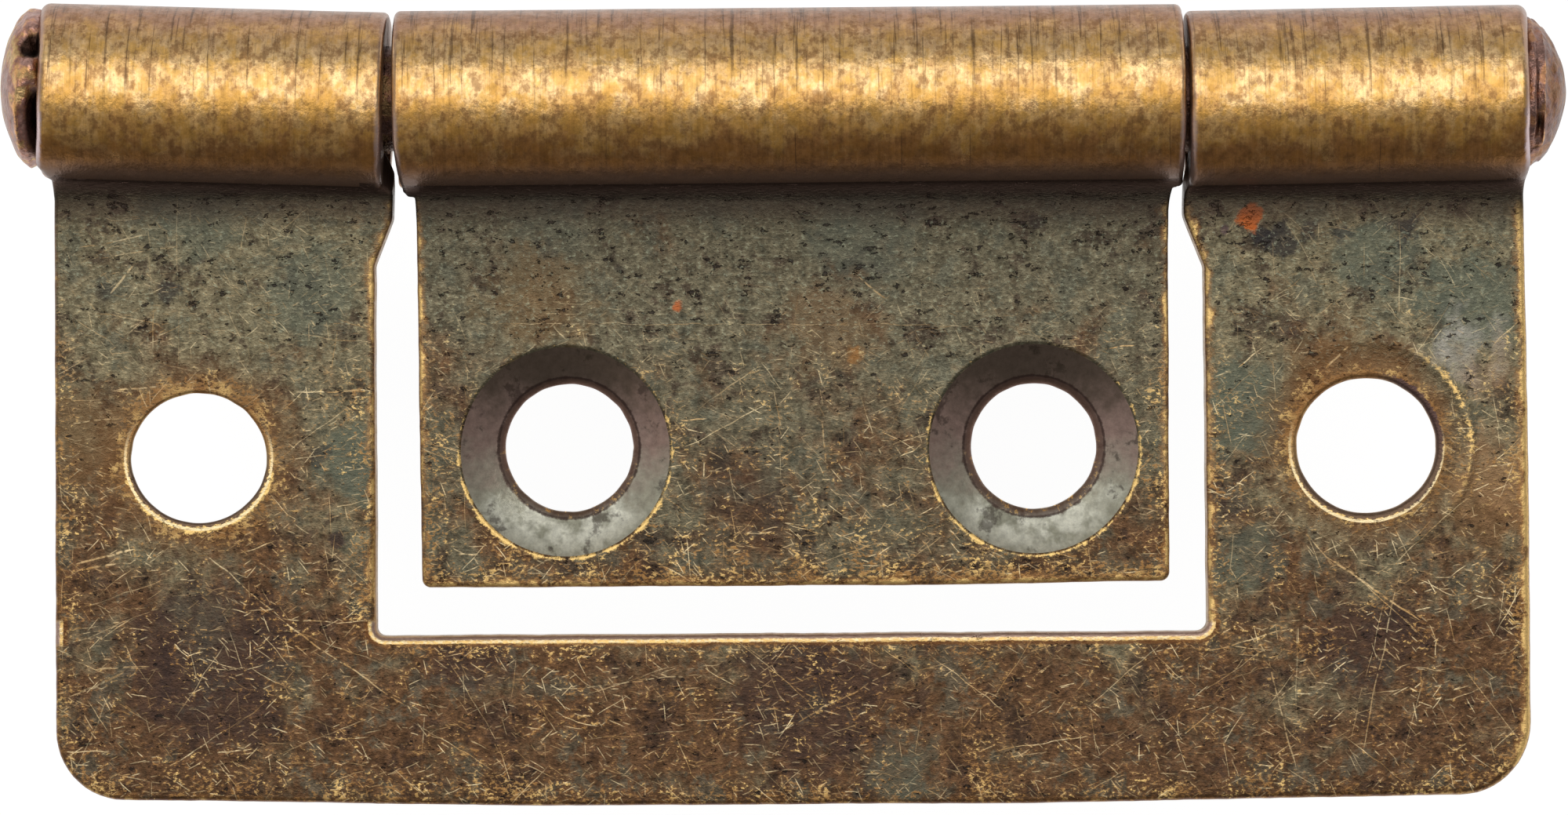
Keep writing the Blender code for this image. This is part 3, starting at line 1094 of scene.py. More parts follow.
class Wear:
    """The effects that several finishes share, each a node group with its own inputs."""

    def __init__(self) -> None:
        """Builds each group once."""
        self.scratches = self._scratches()
        self.stroke = self._stroke()
        self.spot = self._spot()

    @staticmethod
    def _scratches() -> bpy.types.NodeTree:
        """Short straight marks: one in some of the cells of a random mosaic."""
        inputs = {"Place": (0.0, 0.0, 0.0), "Cell": 1.0, "Half Length": 0.4, "Half Width": 0.02}
        inputs |= {"Heading": 0.0, "Spread": math.tau, "Share": 0.5}
        effect = Effect("short_scratches", inputs)
        source = effect.source
        place = effect.scaled(source["Place"], effect.math("DIVIDE", 1.0, source["Cell"]))
        inputs = {"Vector": place, "Scale": 1.0}
        mosaic = effect.add("TexVoronoi", inputs, voronoi_dimensions="2D").outputs
        local = effect.vector("SUBTRACT", place, mosaic["Position"])
        colours = effect.add("SeparateColor", {0: mosaic["Color"]}).outputs
        turn, chance, pick = (Wire(effect, colour) for colour in colours)
        angle = (turn - 0.5) * source["Spread"] + source["Heading"]
        inputs = {"Vector": local, "Angle": angle}
        turned = effect.parts(effect.wire("VectorRotate", inputs, rotation_type="Z_AXIS"))
        width, length = source["Half Width"], source["Half Length"]
        line = (abs(turned[1]) * source["Cell"]).step(width, width * 0.3)
        line = line * abs(turned[0]).step(length, length * 0.5)
        chosen = effect.math("LESS_THAN", chance, source["Share"])
        mask = line * chosen * pick.span(0.0, 1.0, 0.3, 1.0)
        return effect.give(Mask=mask, Pick=pick)

    @staticmethod
    def _stroke() -> bpy.types.NodeTree:
        """One long scratch: the distance to the line between two places, thinner at its ends."""
        inputs = {"Place": (0.0, 0.0, 0.0), "From": (0.0, 0.0, 0.0), "To": (1.0, 0.0, 0.0)}
        effect = Effect("long_stroke", inputs | {"Half Width": 0.03})
        source = effect.source
        whole = effect.vector("SUBTRACT", source["To"], source["From"])
        part = effect.vector("SUBTRACT", source["Place"], source["From"])
        lengths = effect.vector("DOT_PRODUCT", whole, whole, output="Value")
        along = effect.vector("DOT_PRODUCT", part, whole, output="Value")
        share = effect.math("DIVIDE", along, lengths, clamp=True)
        away = effect.vector("DISTANCE", part, effect.scaled(whole, share), output="Value")
        width = (share * (1.0 - share)).step(-0.02, 0.12) * source["Half Width"]
        return effect.give(Mask=away.step(width, width * 0.25))

    @staticmethod
    def _spot() -> bpy.types.NodeTree:
        """A ragged spot: the distance from its middle, disturbed by a cloud."""
        inputs = {"Place": (0.0, 0.0, 0.0), "Cloud": 0.5, "Middle": (0.0, 0.0, 0.0)}
        effect = Effect("ragged_spot", inputs | {"Radius": 0.5, "Ragged": 0.3, "Soft": 0.1})
        source = effect.source
        away = effect.vector("DISTANCE", source["Place"], source["Middle"], output="Value")
        ragged = (source["Cloud"] - 0.5) * source["Ragged"] + away
        inner = source["Radius"] - source["Soft"]
        return effect.give(Mask=ragged.step(source["Radius"], inner))


def on_plate(pixel_x: float, pixel_y: float) -> tuple[float, float, float]:
    """The developed place of a pixel of the photograph on the front of a plate.

    The photograph is 2000 by 1039, and its middle lies a little below that of the hinge.

    Args:
        pixel_x: Pixels from the left.
        pixel_y: Pixels from the top.

    Returns:
        The x, run and lift of that place.
    """
    middle_x, middle_y, pixels_per_mm, below = 999.5, 519.5, 38.207, 0.1
    section = SheetSection()
    run = (middle_y - pixel_y) / pixels_per_mm - below - AXIS_Y + section.joggle_depth
    return (pixel_x - middle_x) / pixels_per_mm, run, section.half


@dataclass(frozen=True)
class Stroke:
    """A long scratch between two pixels of the photograph."""

    from_x: float
    from_y: float
    to_x: float
    to_y: float
    half_width: float
    strength: float


@dataclass(frozen=True)
class Stain:
    """A spot of another colour round a pixel of the photograph, its size in millimetres."""

    pixel_x: float
    pixel_y: float
    radius: float
    ragged: float
    soft: float
    colour: Colour
    strength: float
    on_top: bool = False


class Paint(Graph):
    """The node tree of one finish, with the colour that has been laid so far."""

    def __init__(self, name: str) -> None:
        """Starts a material of that name."""
        self.material = bpy.data.materials.new(name)
        self.material.use_nodes = True
        super().__init__(self.material.node_tree)
        self.colour: Input = (0.5, 0.5, 0.5, 1.0)

    def value(self, label: str) -> Wire:
        """One of the numbers that the mesh keeps for each point."""
        return self.wire("Attribute", {}, "Fac", attribute_name=label)

    def lay(self, colour: Input, *shares: Input) -> None:
        """Lays a colour over what is there, as strongly as the product of the shares."""
        self.colour = self.mix(functools.reduce(operator.mul, shares), self.colour, colour)

    def dim(self, factor: Input) -> None:
        """Makes what is there lighter or darker by a factor."""
        self.colour = self.wire("HueSaturation", {"Color": self.colour, "Value": factor})

    def finish(self, rough: Input, height: Wire, metal: Input) -> bpy.types.Material:
        """Feeds the shader of an aged metal, whose patina scatters a little light too.

        Args:
            rough: Its roughness.
            height: Its fine relief in millimetres.
            metal: How much of it shines as metal does.

        Returns:
            The finished material.
        """
        shader = self.tree.nodes["Principled BSDF"]
        bump = self.add("Bump", {"Strength": 1.0, "Distance": MM, "Height": height})
        inputs = {"Metallic": metal, "Base Color": self.colour, "Roughness": rough}
        for label, value in (inputs | {"Normal": bump.outputs[0]}).items():
            self.feed(shader.inputs[label], value)
        return self.material


class SheetPaint(Paint):
    """A finish of a leaf, with the leaf's own values at hand."""

    def __init__(self, name: str, wear: Wear) -> None:
        """Starts a material that reads the place on the developed sheet.

        Args:
            name: The material's name.
            wear: The shared node groups.
        """
        super().__init__(name)
        self.wear = wear
        self.sheet = self.wire("Attribute", {}, "Vector", attribute_name="sheet")
        self.x, self.run, self.lift = self.parts(self.sheet)

    def cloud(
        self,
        per_mm: float,
        detail: float,
        rough: float = 0.5,
        stretch: tuple[float, float, float] | None = None,
    ) -> Wire:
        """Cloudy noise over the sheet, finer along each axis by the stretch."""
        place = self.vector("MULTIPLY", self.sheet, stretch) if stretch else self.sheet
        return self.noise(place, per_mm, detail, rough)

    def shaken(self, reach: float) -> Wire:
        """The developed place moved a little by noise, so that no scratch is quite straight."""
        inputs = {0: self.cloud(0.45, 1.0) - 0.5, 1: self.cloud(1.1, 1.0) - 0.5}
        return self.vector("ADD", self.sheet, self.scaled(self.wire("CombineXYZ", inputs), reach))

    def marks(
        self, place: Wire, cell: float, length: float, width: float, share: float, **more: float
    ) -> list[Wire]:
        """One layer of short marks.

        Args:
            place: Where the mosaic is read.
            cell: Size of its cells.
            length: Half a mark's length, in cells.
            width: Half its width.
            share: Share of the cells that hold one.
            more: Heading and Spread.

        Returns:
            The layer's mask and a random number for each mark.
        """
        inputs = {"Place": place, "Cell": cell, "Half Length": length}
        inputs |= {"Half Width": width, "Share": share, **more}
        return self.group(self.wear.scratches, inputs)

    def strokes(self, place: Wire, strokes: list[Stroke]) -> Wire:
        """The listed scratches as one mask, broken up by fine noise.

        Args:
            place: The developed place, a little shaken.
            strokes: The scratches.

        Returns:
            The mask.
        """
        total: Input = 0.0
        for stroke in strokes:
            start, stop = on_plate(stroke.from_x, stroke.from_y), on_plate(stroke.to_x, stroke.to_y)
            inputs = {"Place": place, "From": start, "To": stop, "Half Width": stroke.half_width}
            (mask,) = self.group(self.wear.stroke, inputs)
            total = mask * stroke.strength | total
        return total * self.cloud(4.0, 1.0).step(0.3, 0.5)

    def stain(self, cloud: Wire, stains: list[Stain]) -> None:
        """Lays ragged spots over what is there.

        Args:
            cloud: The noise that disturbs their borders.
            stains: The spots, the lowest first.
        """
        for stain in stains:
            middle = on_plate(stain.pixel_x, stain.pixel_y)
            inputs = {"Place": self.sheet, "Cloud": cloud, "Middle": middle}
            inputs |= {"Radius": stain.radius, "Ragged": stain.ragged, "Soft": stain.soft}
            self.lay(stain.colour, *self.group(self.wear.spot, inputs), stain.strength)


@dataclass(frozen=True)
class PlatePatina:
    """The dark plates: olive and brown patina, gold where it is scratched or rubbed through.

    Upper and shaded are the shares of the scratches and of the light that are left near the
    knuckle. Sill is how far the window's sill lies from the joggle; ledge, collar and mouth are
    radii of rings round the holes. All four are in millimetres.
    """

    olive: Colour = paint(99, 92, 73)
    brown: Colour = paint(92, 66, 44)
    teal: Colour = paint(82, 84, 72)
    umber: Colour = paint(58, 44, 36)
    soot: Colour = paint(38, 32, 29)
    painted_glint_flecks: Colour = paint(142, 146, 124)
    rust: Colour = paint(152, 112, 64)
    tan: Colour = paint(184, 142, 86)
    gold: Colour = paint(232, 194, 124)
    pale: Colour = paint(240, 218, 172)
    hollow: Colour = paint(106, 84, 74)
    crease: Colour = paint(80, 62, 51)
    # Gold of worn rims, laid brighter on the holes' lower sides as a painted highlight.
    worn_rim_and_highlight: Colour = paint(240, 202, 128)
    rusty: Colour = paint(168, 118, 68)
    fringe: Colour = paint(96, 60, 30)
    singed: Colour = paint(106, 71, 40)
    torn: Colour = paint(128, 102, 96)
    mill: Colour = paint(160, 134, 126)
    # Painted shade: the dark of a hole's wall where it shows from the front.
    painted_wall_shade: Colour = paint(78, 60, 58)
    cut: Colour = paint(112, 84, 56)
    burnished: Colour = paint(170, 134, 86)
    roughness: float = 0.39
    metal: float = 0.85
    brownness: float = 0.5
    upper: float = 0.4
    shaded: float = 0.7
    low_flecks: float = 0.0
    sill: float = 14.42
    ledge: float = 2.415
    collar: float = 3.5
    mouth: float = 3.57
    framed: bool = False
    strokes: tuple[Stroke, ...] = ()
    stains: tuple[Stain, ...] = ()


class PlatePaint(SheetPaint):
    """The plate's finish, laid in order from the patina to what is rubbed, cut and dirty, and
    painted shade by the knuckle.
    """

    def __init__(self, name: str, wear: Wear, look: PlatePatina) -> None:
        """Starts the material.

        Args:
            name: The material's name.
            wear: The shared node groups.
            look: Its colours and strengths.
        """
        super().__init__(name, wear)
        self.look = look

    def make(self) -> bpy.types.Material:
        """Lays all layers.

        Returns:
            The material.
        """
        self._ground()
        stains = self.look.stains
        cloud = self.cloud(1.1, 4.0, 0.65)
        self.stain(cloud, [stain for stain in stains if not stain.on_top])
        relief = self._scratched()
        self.stain(cloud, [stain for stain in stains if stain.on_top])
        self._rubbed()
        self._sheared()
        self._creased()
        rough = self.grain.span(0.3, 0.7, self.look.roughness + 0.07, self.look.roughness - 0.07)
        height = self.grain * 0.03 + (self.fine * 0.02 + relief)
        return self.finish(rough, height, self.look.metal)

    def _ground(self) -> None:
        """The colours under the scratches, and the noises that the later layers share."""
        look = self.look
        drift = self.cloud(0.32, 5.0, 0.72)
        falls = self.run.span(-2.0, -18.0, -0.2, 0.08 + 0.2 * look.brownness)
        self.colour = self.mix((drift + falls).step(0.34, 0.66), look.olive, look.brown)
        self.patches = self.cloud(0.6, 5.0, 0.74)
        self.lay(look.teal, self.patches.step(0.53, 0.64), 0.5)
        self.lay(look.umber, self.patches.step(0.47, 0.36), 0.7)
        self.grain = self.cloud(2.0, 4.0, 0.75)
        self.fine = self.cloud(1.0, 3.0, 0.7, (5.2, 8.0, 1.0))
        self.dim(self.grain.span(0.22, 0.78, 0.42, 1.55))
        self.dim(self.fine.span(0.25, 0.75, 0.6, 1.4))

    def _scratched(self) -> Wire:
        """Gold specks, dark pits, pale scratches and pale flecks that are painted glints.

        Returns:
            The relief of the pits in millimetres.
        """
        look = self.look
        bent = self.shaken(0.16)
        gather = self.cloud(0.5, 5.0, 0.75)
        calm = self.run.span(-6.0, -1.0, 0.0, -0.16)
        if look.low_flecks:
            calm = calm + self.run.span(-9.5, -12.3, 0.0, look.low_flecks)
        worn = self.value("edge").step(1.2, 0.2) * 0.1
        if look.framed:
            worn = self.value("bore").step(3.3, 2.35) * 0.24 + worn
        calm = worn * self.run.step(0.0, -1.5) + calm
        tops = (gather * 0.6 + self.fine + calm).step(0.93, 1.04)
        speck = self.mix(self.cloud(1.3, 2.0).step(0.42, 0.7), look.rust, look.gold)
        self.lay(speck, tops, 0.8)
        pits = self.cloud(1.0, 3.0, 0.7, (1.9, 3.4, 1.0))
        pits = pits + self.run.span(-7.0, -2.0, 0.05, 0.0)
        pits = pits + self.patches.span(0.35, 0.6, -0.05, 0.05)
        pits = pits.step(0.37, 0.3) * 0.85
        self.lay(look.soot, pits)
        # Painted glints: pale flecks on the upper plate.
        self.lay(look.painted_glint_flecks, self.fine.step(0.58, 0.7), self.run.step(-9.0, -3.0), 0.5)
        busy = gather.span(0.34, 0.6, 0.25, 1.0) * self.run.span(-9.0, -2.0, 1.0, look.upper)
        tiny, _ = self.marks(bent, 0.32, 0.5, 0.024, 0.6, Heading=0.2, Spread=1.8)
        short, pick = self.marks(bent, 0.66, 0.5, 0.021, 0.65, Heading=0.3, Spread=2.6)
        line_colour = self.mix(pick, look.tan, look.pale)
        longer, _ = self.marks(bent, 1.5, 0.52, 0.020, 0.8, Heading=0.35, Spread=2.8)
        longest, _ = self.marks(bent, 3.4, 0.58, 0.022, 0.85, Heading=-0.3, Spread=2.8)
        lines = short * busy | longer * busy | tiny * busy * 0.85 | longest * busy
        self.lay(line_colour, lines | self.strokes(bent, look.strokes), 0.9)
        return pits * -0.03

    def _rubbed(self) -> None:
        """Gold where hands and other metal rub: along the edges and round the holes, brighter on
        the holes' lower sides as painted highlights.
        """
        look = self.look
        near = self.value("edge") + self.grain * 0.6
        near = near + self.cloud(0.7, 3.0, 0.6).span(0.3, 0.7, -0.16, 0.07)
        if look.framed:
            side = self.x.step(22.0, 24.0)
            outside = self.x.step(-22.0, -23.5) | self.run.step(-18.0, -19.2)
            near = outside * 0.14 + (near - side * 0.12)
            sill = abs(self.run + look.sill).step(0.5, 0.3) * side.step(0.9, 0.1)
            near = sill * -0.11 + near
        plate = self.run.step(0.4, -0.7)
        self.lay(look.rusty, near.step(0.6, 0.3), plate, 0.5)
        self.lay(look.gold, near.step(0.42, 0.26), plate, 0.9)
        front = self.lift.step(0.0, 0.3)
        line = self.fine * 0.12 + self.value("edge")
        self.lay(look.torn, line.step(0.13, 0.08), plate, front, 0.7)
        if look.framed:
            self._lined_sill(line, sill * front)
            self._round_holes(front)
        else:
            # A gold worn lip round each countersink's mouth, wider at the bottom as a painted
            # highlight.
            ring = self.grain * 0.55 + abs(self.value("bore") - look.mouth)
            ring = ring - self.run.span(-4.8, -9.6, -0.12, 0.02)
            self.lay(look.worn_rim_and_highlight, ring.step(0.33, 0.24), front, 0.95)

    def _lined_sill(self, line: Wire, sill: Wire) -> None:
        """The window's sill: a milled edge, a bright line that is a painted highlight on its worn
        rounded edge, and a brown fringe.

        Args:
            line: Slightly ragged distance from the edge.
            sill: Where the sill is.
        """
        look = self.look
        self.lay(look.fringe, line.step(0.52, 0.4), sill, 0.75)
        # Painted highlight: bright gold and pale along the sill's rounded edge, which faces the
        # light.
        painted_highlight = self.mix(self.fine.step(0.42, 0.62), look.gold, look.pale)
        self.lay(painted_highlight, line.step(0.35, 0.30), sill, 0.9)
        self.lay(look.mill, line.step(0.235, 0.185), sill, 0.9)

    def _round_holes(self, front: Wire) -> None:
        """Rims of the plain holes: browned ground, a gold lip painted brighter at the bottom as a
        highlight, a bright line that is a painted highlight, painted shade for the wall where it
        shows, and a collar.

        Args:
            front: Where the sheet faces the front.
        """
        look, bore = self.look, self.value("bore")
        self.lay(look.singed, (self.grain * 1.1 + bore).step(4.4, 3.1), 0.48)
        # Painted highlight: the lip is bright gold at the bottom of each hole and rusty elsewhere.
        right, low = self.x.step(-2.0, 2.0), self.run.step(-7.2, -9.4)
        ring = right * -0.22 + (self.grain * 0.6 + bore)
        ring = low * right.span(0.0, 1.0, -0.2, -0.03) + ring
        faded = self.run.span(-6.6, -9.4, 0.25, 1.0)
        self.lay(self.mix(low, look.rusty, look.worn_rim_and_highlight), ring.step(2.64, 2.56), front, faded)
        # Painted highlight: a thin pale line on the lower side of each hole.
        ring = right * -0.13 + bore
        self.lay(look.pale, abs(ring - look.ledge).step(0.06, 0.035), low, front, 0.9)
        # Painted shade: a dark crescent at the bore's edge where the wall shows, below and on the
        # right.
        ring = self.x.step(20.2, 21.2) * -0.05 + (self.fine * 0.22 + ring)
        seen = low | self.x.step(19.4, 20.6)
        self.lay(look.painted_wall_shade, ring.step(2.49, 2.44), seen, front, 0.92)
        ring = self.grain * 0.6 + (self.fine * -0.5 + abs(bore - look.collar))
        near = self.x.step(20.6, 22.4) * self.run.step(-10.4, -8.0)
        self.lay(look.gold, ring.step(0.16, 0.0), near, front)

    def _sheared(self) -> None:
        """The cut sides of the sheet: smooth brass near the front, torn towards the back."""
        scored = self.cloud(1.0, 4.0, 0.75, (3.6, 3.6, 0.9))
        smooth = (scored * 1.5 + self.lift).step(0.35, 1.15)
        metal = self.mix(smooth, self.look.cut, self.look.burnished)
        self.lay(metal, abs(self.lift).step(0.5, 0.42), 0.9)

    def _creased(self) -> None:
        """Darkens the plate towards the knuckle: a darker crease colour, painted shade that grows
        towards the knuckle, and a plain colour on the joggle.
        """
        uneven = self.grain * 0.7 + self.run
        wide = uneven.span(-3.2, -0.2, 1.0, self.look.shaded)
        self.lay(self.look.crease, uneven.step(-0.7, 0.3), 0.55)
        # Painted shade under the knuckle: the colour is dimmed by the share of light left, and more
        # towards the crease.
        self.dim(wide * (uneven.step(0.62, -0.85) * 0.58 + 0.42))
        self.lay(self.look.hollow, self.run.step(0.2, 1.3), 0.8)


@dataclass(frozen=True)
class KnuckleBrass:
    """The rolled knuckles: brass rubbed bright along the top, dull behind, and darker below and
    towards the crease, which is painted shade.
    """

    bright: Colour = paint(208, 168, 112)
    cream: Colour = paint(224, 188, 134)
    ochre: Colour = paint(200, 154, 78)
    honey: Colour = paint(190, 138, 60)
    mauve: Colour = paint(144, 107, 88)
    reverse: Colour = paint(172, 134, 84)
    brown: Colour = paint(140, 96, 56)
    # Painted shade: the darker brown of the knuckle's lower side, which faces away from the light.
    low: Colour = paint(141, 92, 46)
    hollow: Colour = paint(146, 116, 100)
    lip: Colour = paint(170, 140, 126)
    # Painted highlight on the lower part of the worn rims at the knuckles' ends.
    painted_rim_highlight: Colour = paint(222, 202, 206)
    shadow: Colour = paint(74, 52, 38)
    roughness: float = 0.31

    def make(self, wear: Wear) -> bpy.types.Material:
        """Builds the material.

        Args:
            wear: The shared node groups.

        Returns:
            The material.
        """
        coat = SheetPaint("rubbed_knuckle_brass", wear)
        cloud, fine = coat.cloud(0.8, 5.0, 0.7), coat.cloud(2.6, 4.0, 0.75)
        coat.colour = coat.mix(cloud.step(0.42, 0.6), self.bright, self.cream)
        tint = coat.cloud(1.5, 3.0, 0.7)
        coat.lay(self.ochre, tint.step(0.46, 0.64), 0.7)
        ragged = (cloud - 0.5) * 2.4 + coat.run
        coat.lay(self.mauve, ragged.step(5.5, 7.2), 0.9)
        coat.lay(self.reverse, ragged.step(8.2, 10.6), 0.85)
        # Painted shade: the lower side of the knuckle is laid in the darker brown.
        coat.lay(self.low, ragged.step(4.2, 2.8), 0.85)
        coat.lay(self.honey, ragged.step(4.8, 4.3), ragged.step(3.0, 3.6), 0.5)
        coat.lay(self.brown, (tint * 0.5 + fine * 0.5).step(0.52, 0.38), 0.6)
        brushed = coat.cloud(1.0, 4.0, 0.75, (5.5, 0.22, 1.0))
        coat.dim(brushed.span(0.3, 0.7, 1.14, 0.86))
        coat.lay(self.shadow, brushed.step(0.57, 0.67), coat.run.step(4.0, 5.0), 0.55)
        coat.dim(fine.span(0.3, 0.7, 0.78, 1.22))
        bent = coat.shaken(0.12)
        lines, _ = coat.marks(bent, 2.4, 0.45, 0.02, 0.5, Heading=math.pi / 2, Spread=0.1)
        coat.lay(self.shadow, lines, 0.7)
        end = (coat.value("edge") + fine * 0.16).step(0.32, 0.18)
        # Worn rims at the knuckles' ends: a pinkish rim colour above, and a pale painted highlight
        # below where the rims catch the light.
        lip = coat.mix(coat.run.step(4.6, 3.6), self.lip, self.painted_rim_highlight)
        coat.lay(lip, end, abs(coat.x).step(20.0, 23.0).span(0.0, 1.0, 0.4, 0.8))
        # Towards the crease: a mauve-brown colour and less metal, then painted shade that halves
        # the colour at the crease.
        inside = coat.run.step(2.7, 1.8)
        coat.lay(self.hollow, inside, 0.85)
        coat.dim(coat.run.span(3.1, 1.5, 1.0, 0.5))
        rough = cloud.span(0.3, 0.7, self.roughness + 0.06, self.roughness - 0.05)
        height = brushed * -0.005 + coat.cloud(1.7, 4.0, 0.62) * 0.034
        return coat.finish(rough, height, inside.span(0.0, 1.0, 0.88, 0.5))


@dataclass(frozen=True)
class CountersinkMetal:
    """The walls of the holes: greyer metal that no hand rubs, with a coppery step; the lower side
    is painted lighter with painted glints and the top painted darker, as painted light and shade.
    """

    # Grey of the countersinks' lower side, painted lighter where it faces the light.
    grey: Colour = paint(164, 162, 143)
    mauve: Colour = paint(158, 133, 122)
    step: Colour = paint(104, 78, 68)
    dark: Colour = paint(62, 48, 44)
    ring: Colour = paint(224, 182, 116)
    painted_glint: Colour = paint(226, 224, 206)
    olive: Colour = paint(124, 112, 88)
    streak: Colour = paint(52, 44, 44)
    crumb: Colour = paint(62, 52, 34)
    ledge: float = 2.37
    roughness: float = 0.29

    def stains(self) -> list[Stain]:
        """Dark streaks in the left countersink."""
        return [
            Stain(604, 580, 0.42, 1.4, 0.3, self.streak, 0.8),
            Stain(628, 596, 0.45, 1.4, 0.3, self.streak, 0.8),
            Stain(640, 622, 0.35, 1.2, 0.25, self.streak, 0.7),
            Stain(842, 622, 0.3, 1.4, 0.25, self.streak, 0.6),
            Stain(660, 677, 0.16, 0.3, 0.05, self.crumb, 0.8),
        ]

    def make(self, wear: Wear) -> bpy.types.Material:
        """Builds the material.

        Args:
            wear: The shared node groups.

        Returns:
            The material.
        """
        coat = SheetPaint("countersink_metal", wear)
        bore = coat.value("bore")
        cloud, fine = coat.cloud(0.7, 4.0, 0.68), coat.cloud(3.6, 4.0, 0.75)
        ragged = (cloud - 0.5) * 3.0 + coat.run
        # Painted light: the lower side of each countersink, which faces the light, is greyer and
        # lighter.
        low = ragged.step(-7.4, -10.3)
        coat.colour = coat.mix(low, self.mauve, self.grey)
        # Painted glints near the bore on the lower side.
        glint = coat.cloud(1.2, 3.0, 0.6).step(0.34, 0.6) * bore.span(3.5, 2.9, 0.3, 1.0)
        coat.lay(self.painted_glint, ragged.step(-9.2, -10.8), glint)
        coat.dim(fine.span(0.25, 0.75, 0.76, 1.24))
        coat.lay(self.dark, (fine * 0.25 + cloud).step(0.54, 0.44), 0.6)
        coat.stain(coat.cloud(1.1, 4.0, 0.65), self.stains())
        # Painted shade: the top of each countersink, which faces away from the light, is olive and
        # darker.
        top = ragged.step(-7.4, -5.6)
        coat.lay(self.olive, top, 0.4)
        coat.dim(top.span(0.0, 1.0, 1.0, 0.56))
        step = (fine * 0.3 + bore).step(2.6, 2.48)
        coat.lay(self.step, step, 0.75)
        line = fine * 0.08 + abs(bore - self.ledge)
        coat.lay(self.dark, line.step(0.11, 0.05), 0.75)
        coat.lay(self.ring, step, fine.step(0.57, 0.66), low)
        # A gold ring at the mouth's worn lip, wider at the bottom as a painted highlight.
        mouth = fine * -0.24 + bore + coat.run.span(-5.5, -10.0, -0.1, 0.0)
        coat.lay(self.ring, mouth.step(3.38, 3.43), 0.9)
        return coat.finish(self.roughness, fine * 0.01, 0.95)


@dataclass(frozen=True)
class PinBronze:
    """The pin: brown bronze, gold on what stands proud and dark in its hollows, with painted shade
    on its shank and painted light and shade on its heads.
    """

    brown: Colour = paint(158, 110, 82)
    mauve: Colour = paint(138, 106, 96)
    olive: Colour = paint(166, 142, 98)
    gold: Colour = paint(224, 170, 112)
    dark: Colour = paint(48, 34, 28)

    def make(self) -> bpy.types.Material:
        """Builds the material.

        Returns:
            The material, which reads how proud each point of the pin stands.
        """
        coat = Paint("aged_pin_bronze")
        place = coat.scaled(coat.wire("TexCoord", {}, "Object"), 1 / MM)
        proud = coat.value("proud")
        cloud = coat.noise(place, 1.3, 4.0, 0.65, "3D")
        fine = coat.noise(place, 4.5, 3.0, 0.7, "3D")
        x = coat.parts(place)[0]
        coat.colour = coat.mix(cloud.step(0.42, 0.56), self.brown, self.mauve)
        left = x.step(0.0, -5.0).span(0.0, 1.0, 0.2, 0.8)
        coat.lay(self.olive, cloud.step(0.5, 0.4), left)
        coat.dim(fine.span(0.25, 0.75, 0.55, 1.45))
        # Painted light and shade on the heads: the right dome darker, the left head lighter, less
        # so at its far end.
        far = x.span(25.1, 25.6, 1.0, 0.7) * x.span(-24.0, -24.8, 1.0, 1.5)
        coat.dim(far * x.span(-25.2, -26.0, 1.0, 0.78))
        rubbed = fine * 0.1 + proud
        coat.lay(self.gold, rubbed.step(0.1, 0.2), fine.step(0.36, 0.56))
        coat.lay(self.dark, proud.step(-0.06, -0.24))
        # Painted shade: the shank, seen only in the narrow gaps between the knuckles, is darkened.
        coat.lay(self.dark, abs(x).step(24.4, 24.0), 0.65)
        rough = cloud.span(0.3, 0.7, 0.44, 0.32)
        return coat.finish(rough, cloud * 0.12 + fine * 0.025, 1.0)


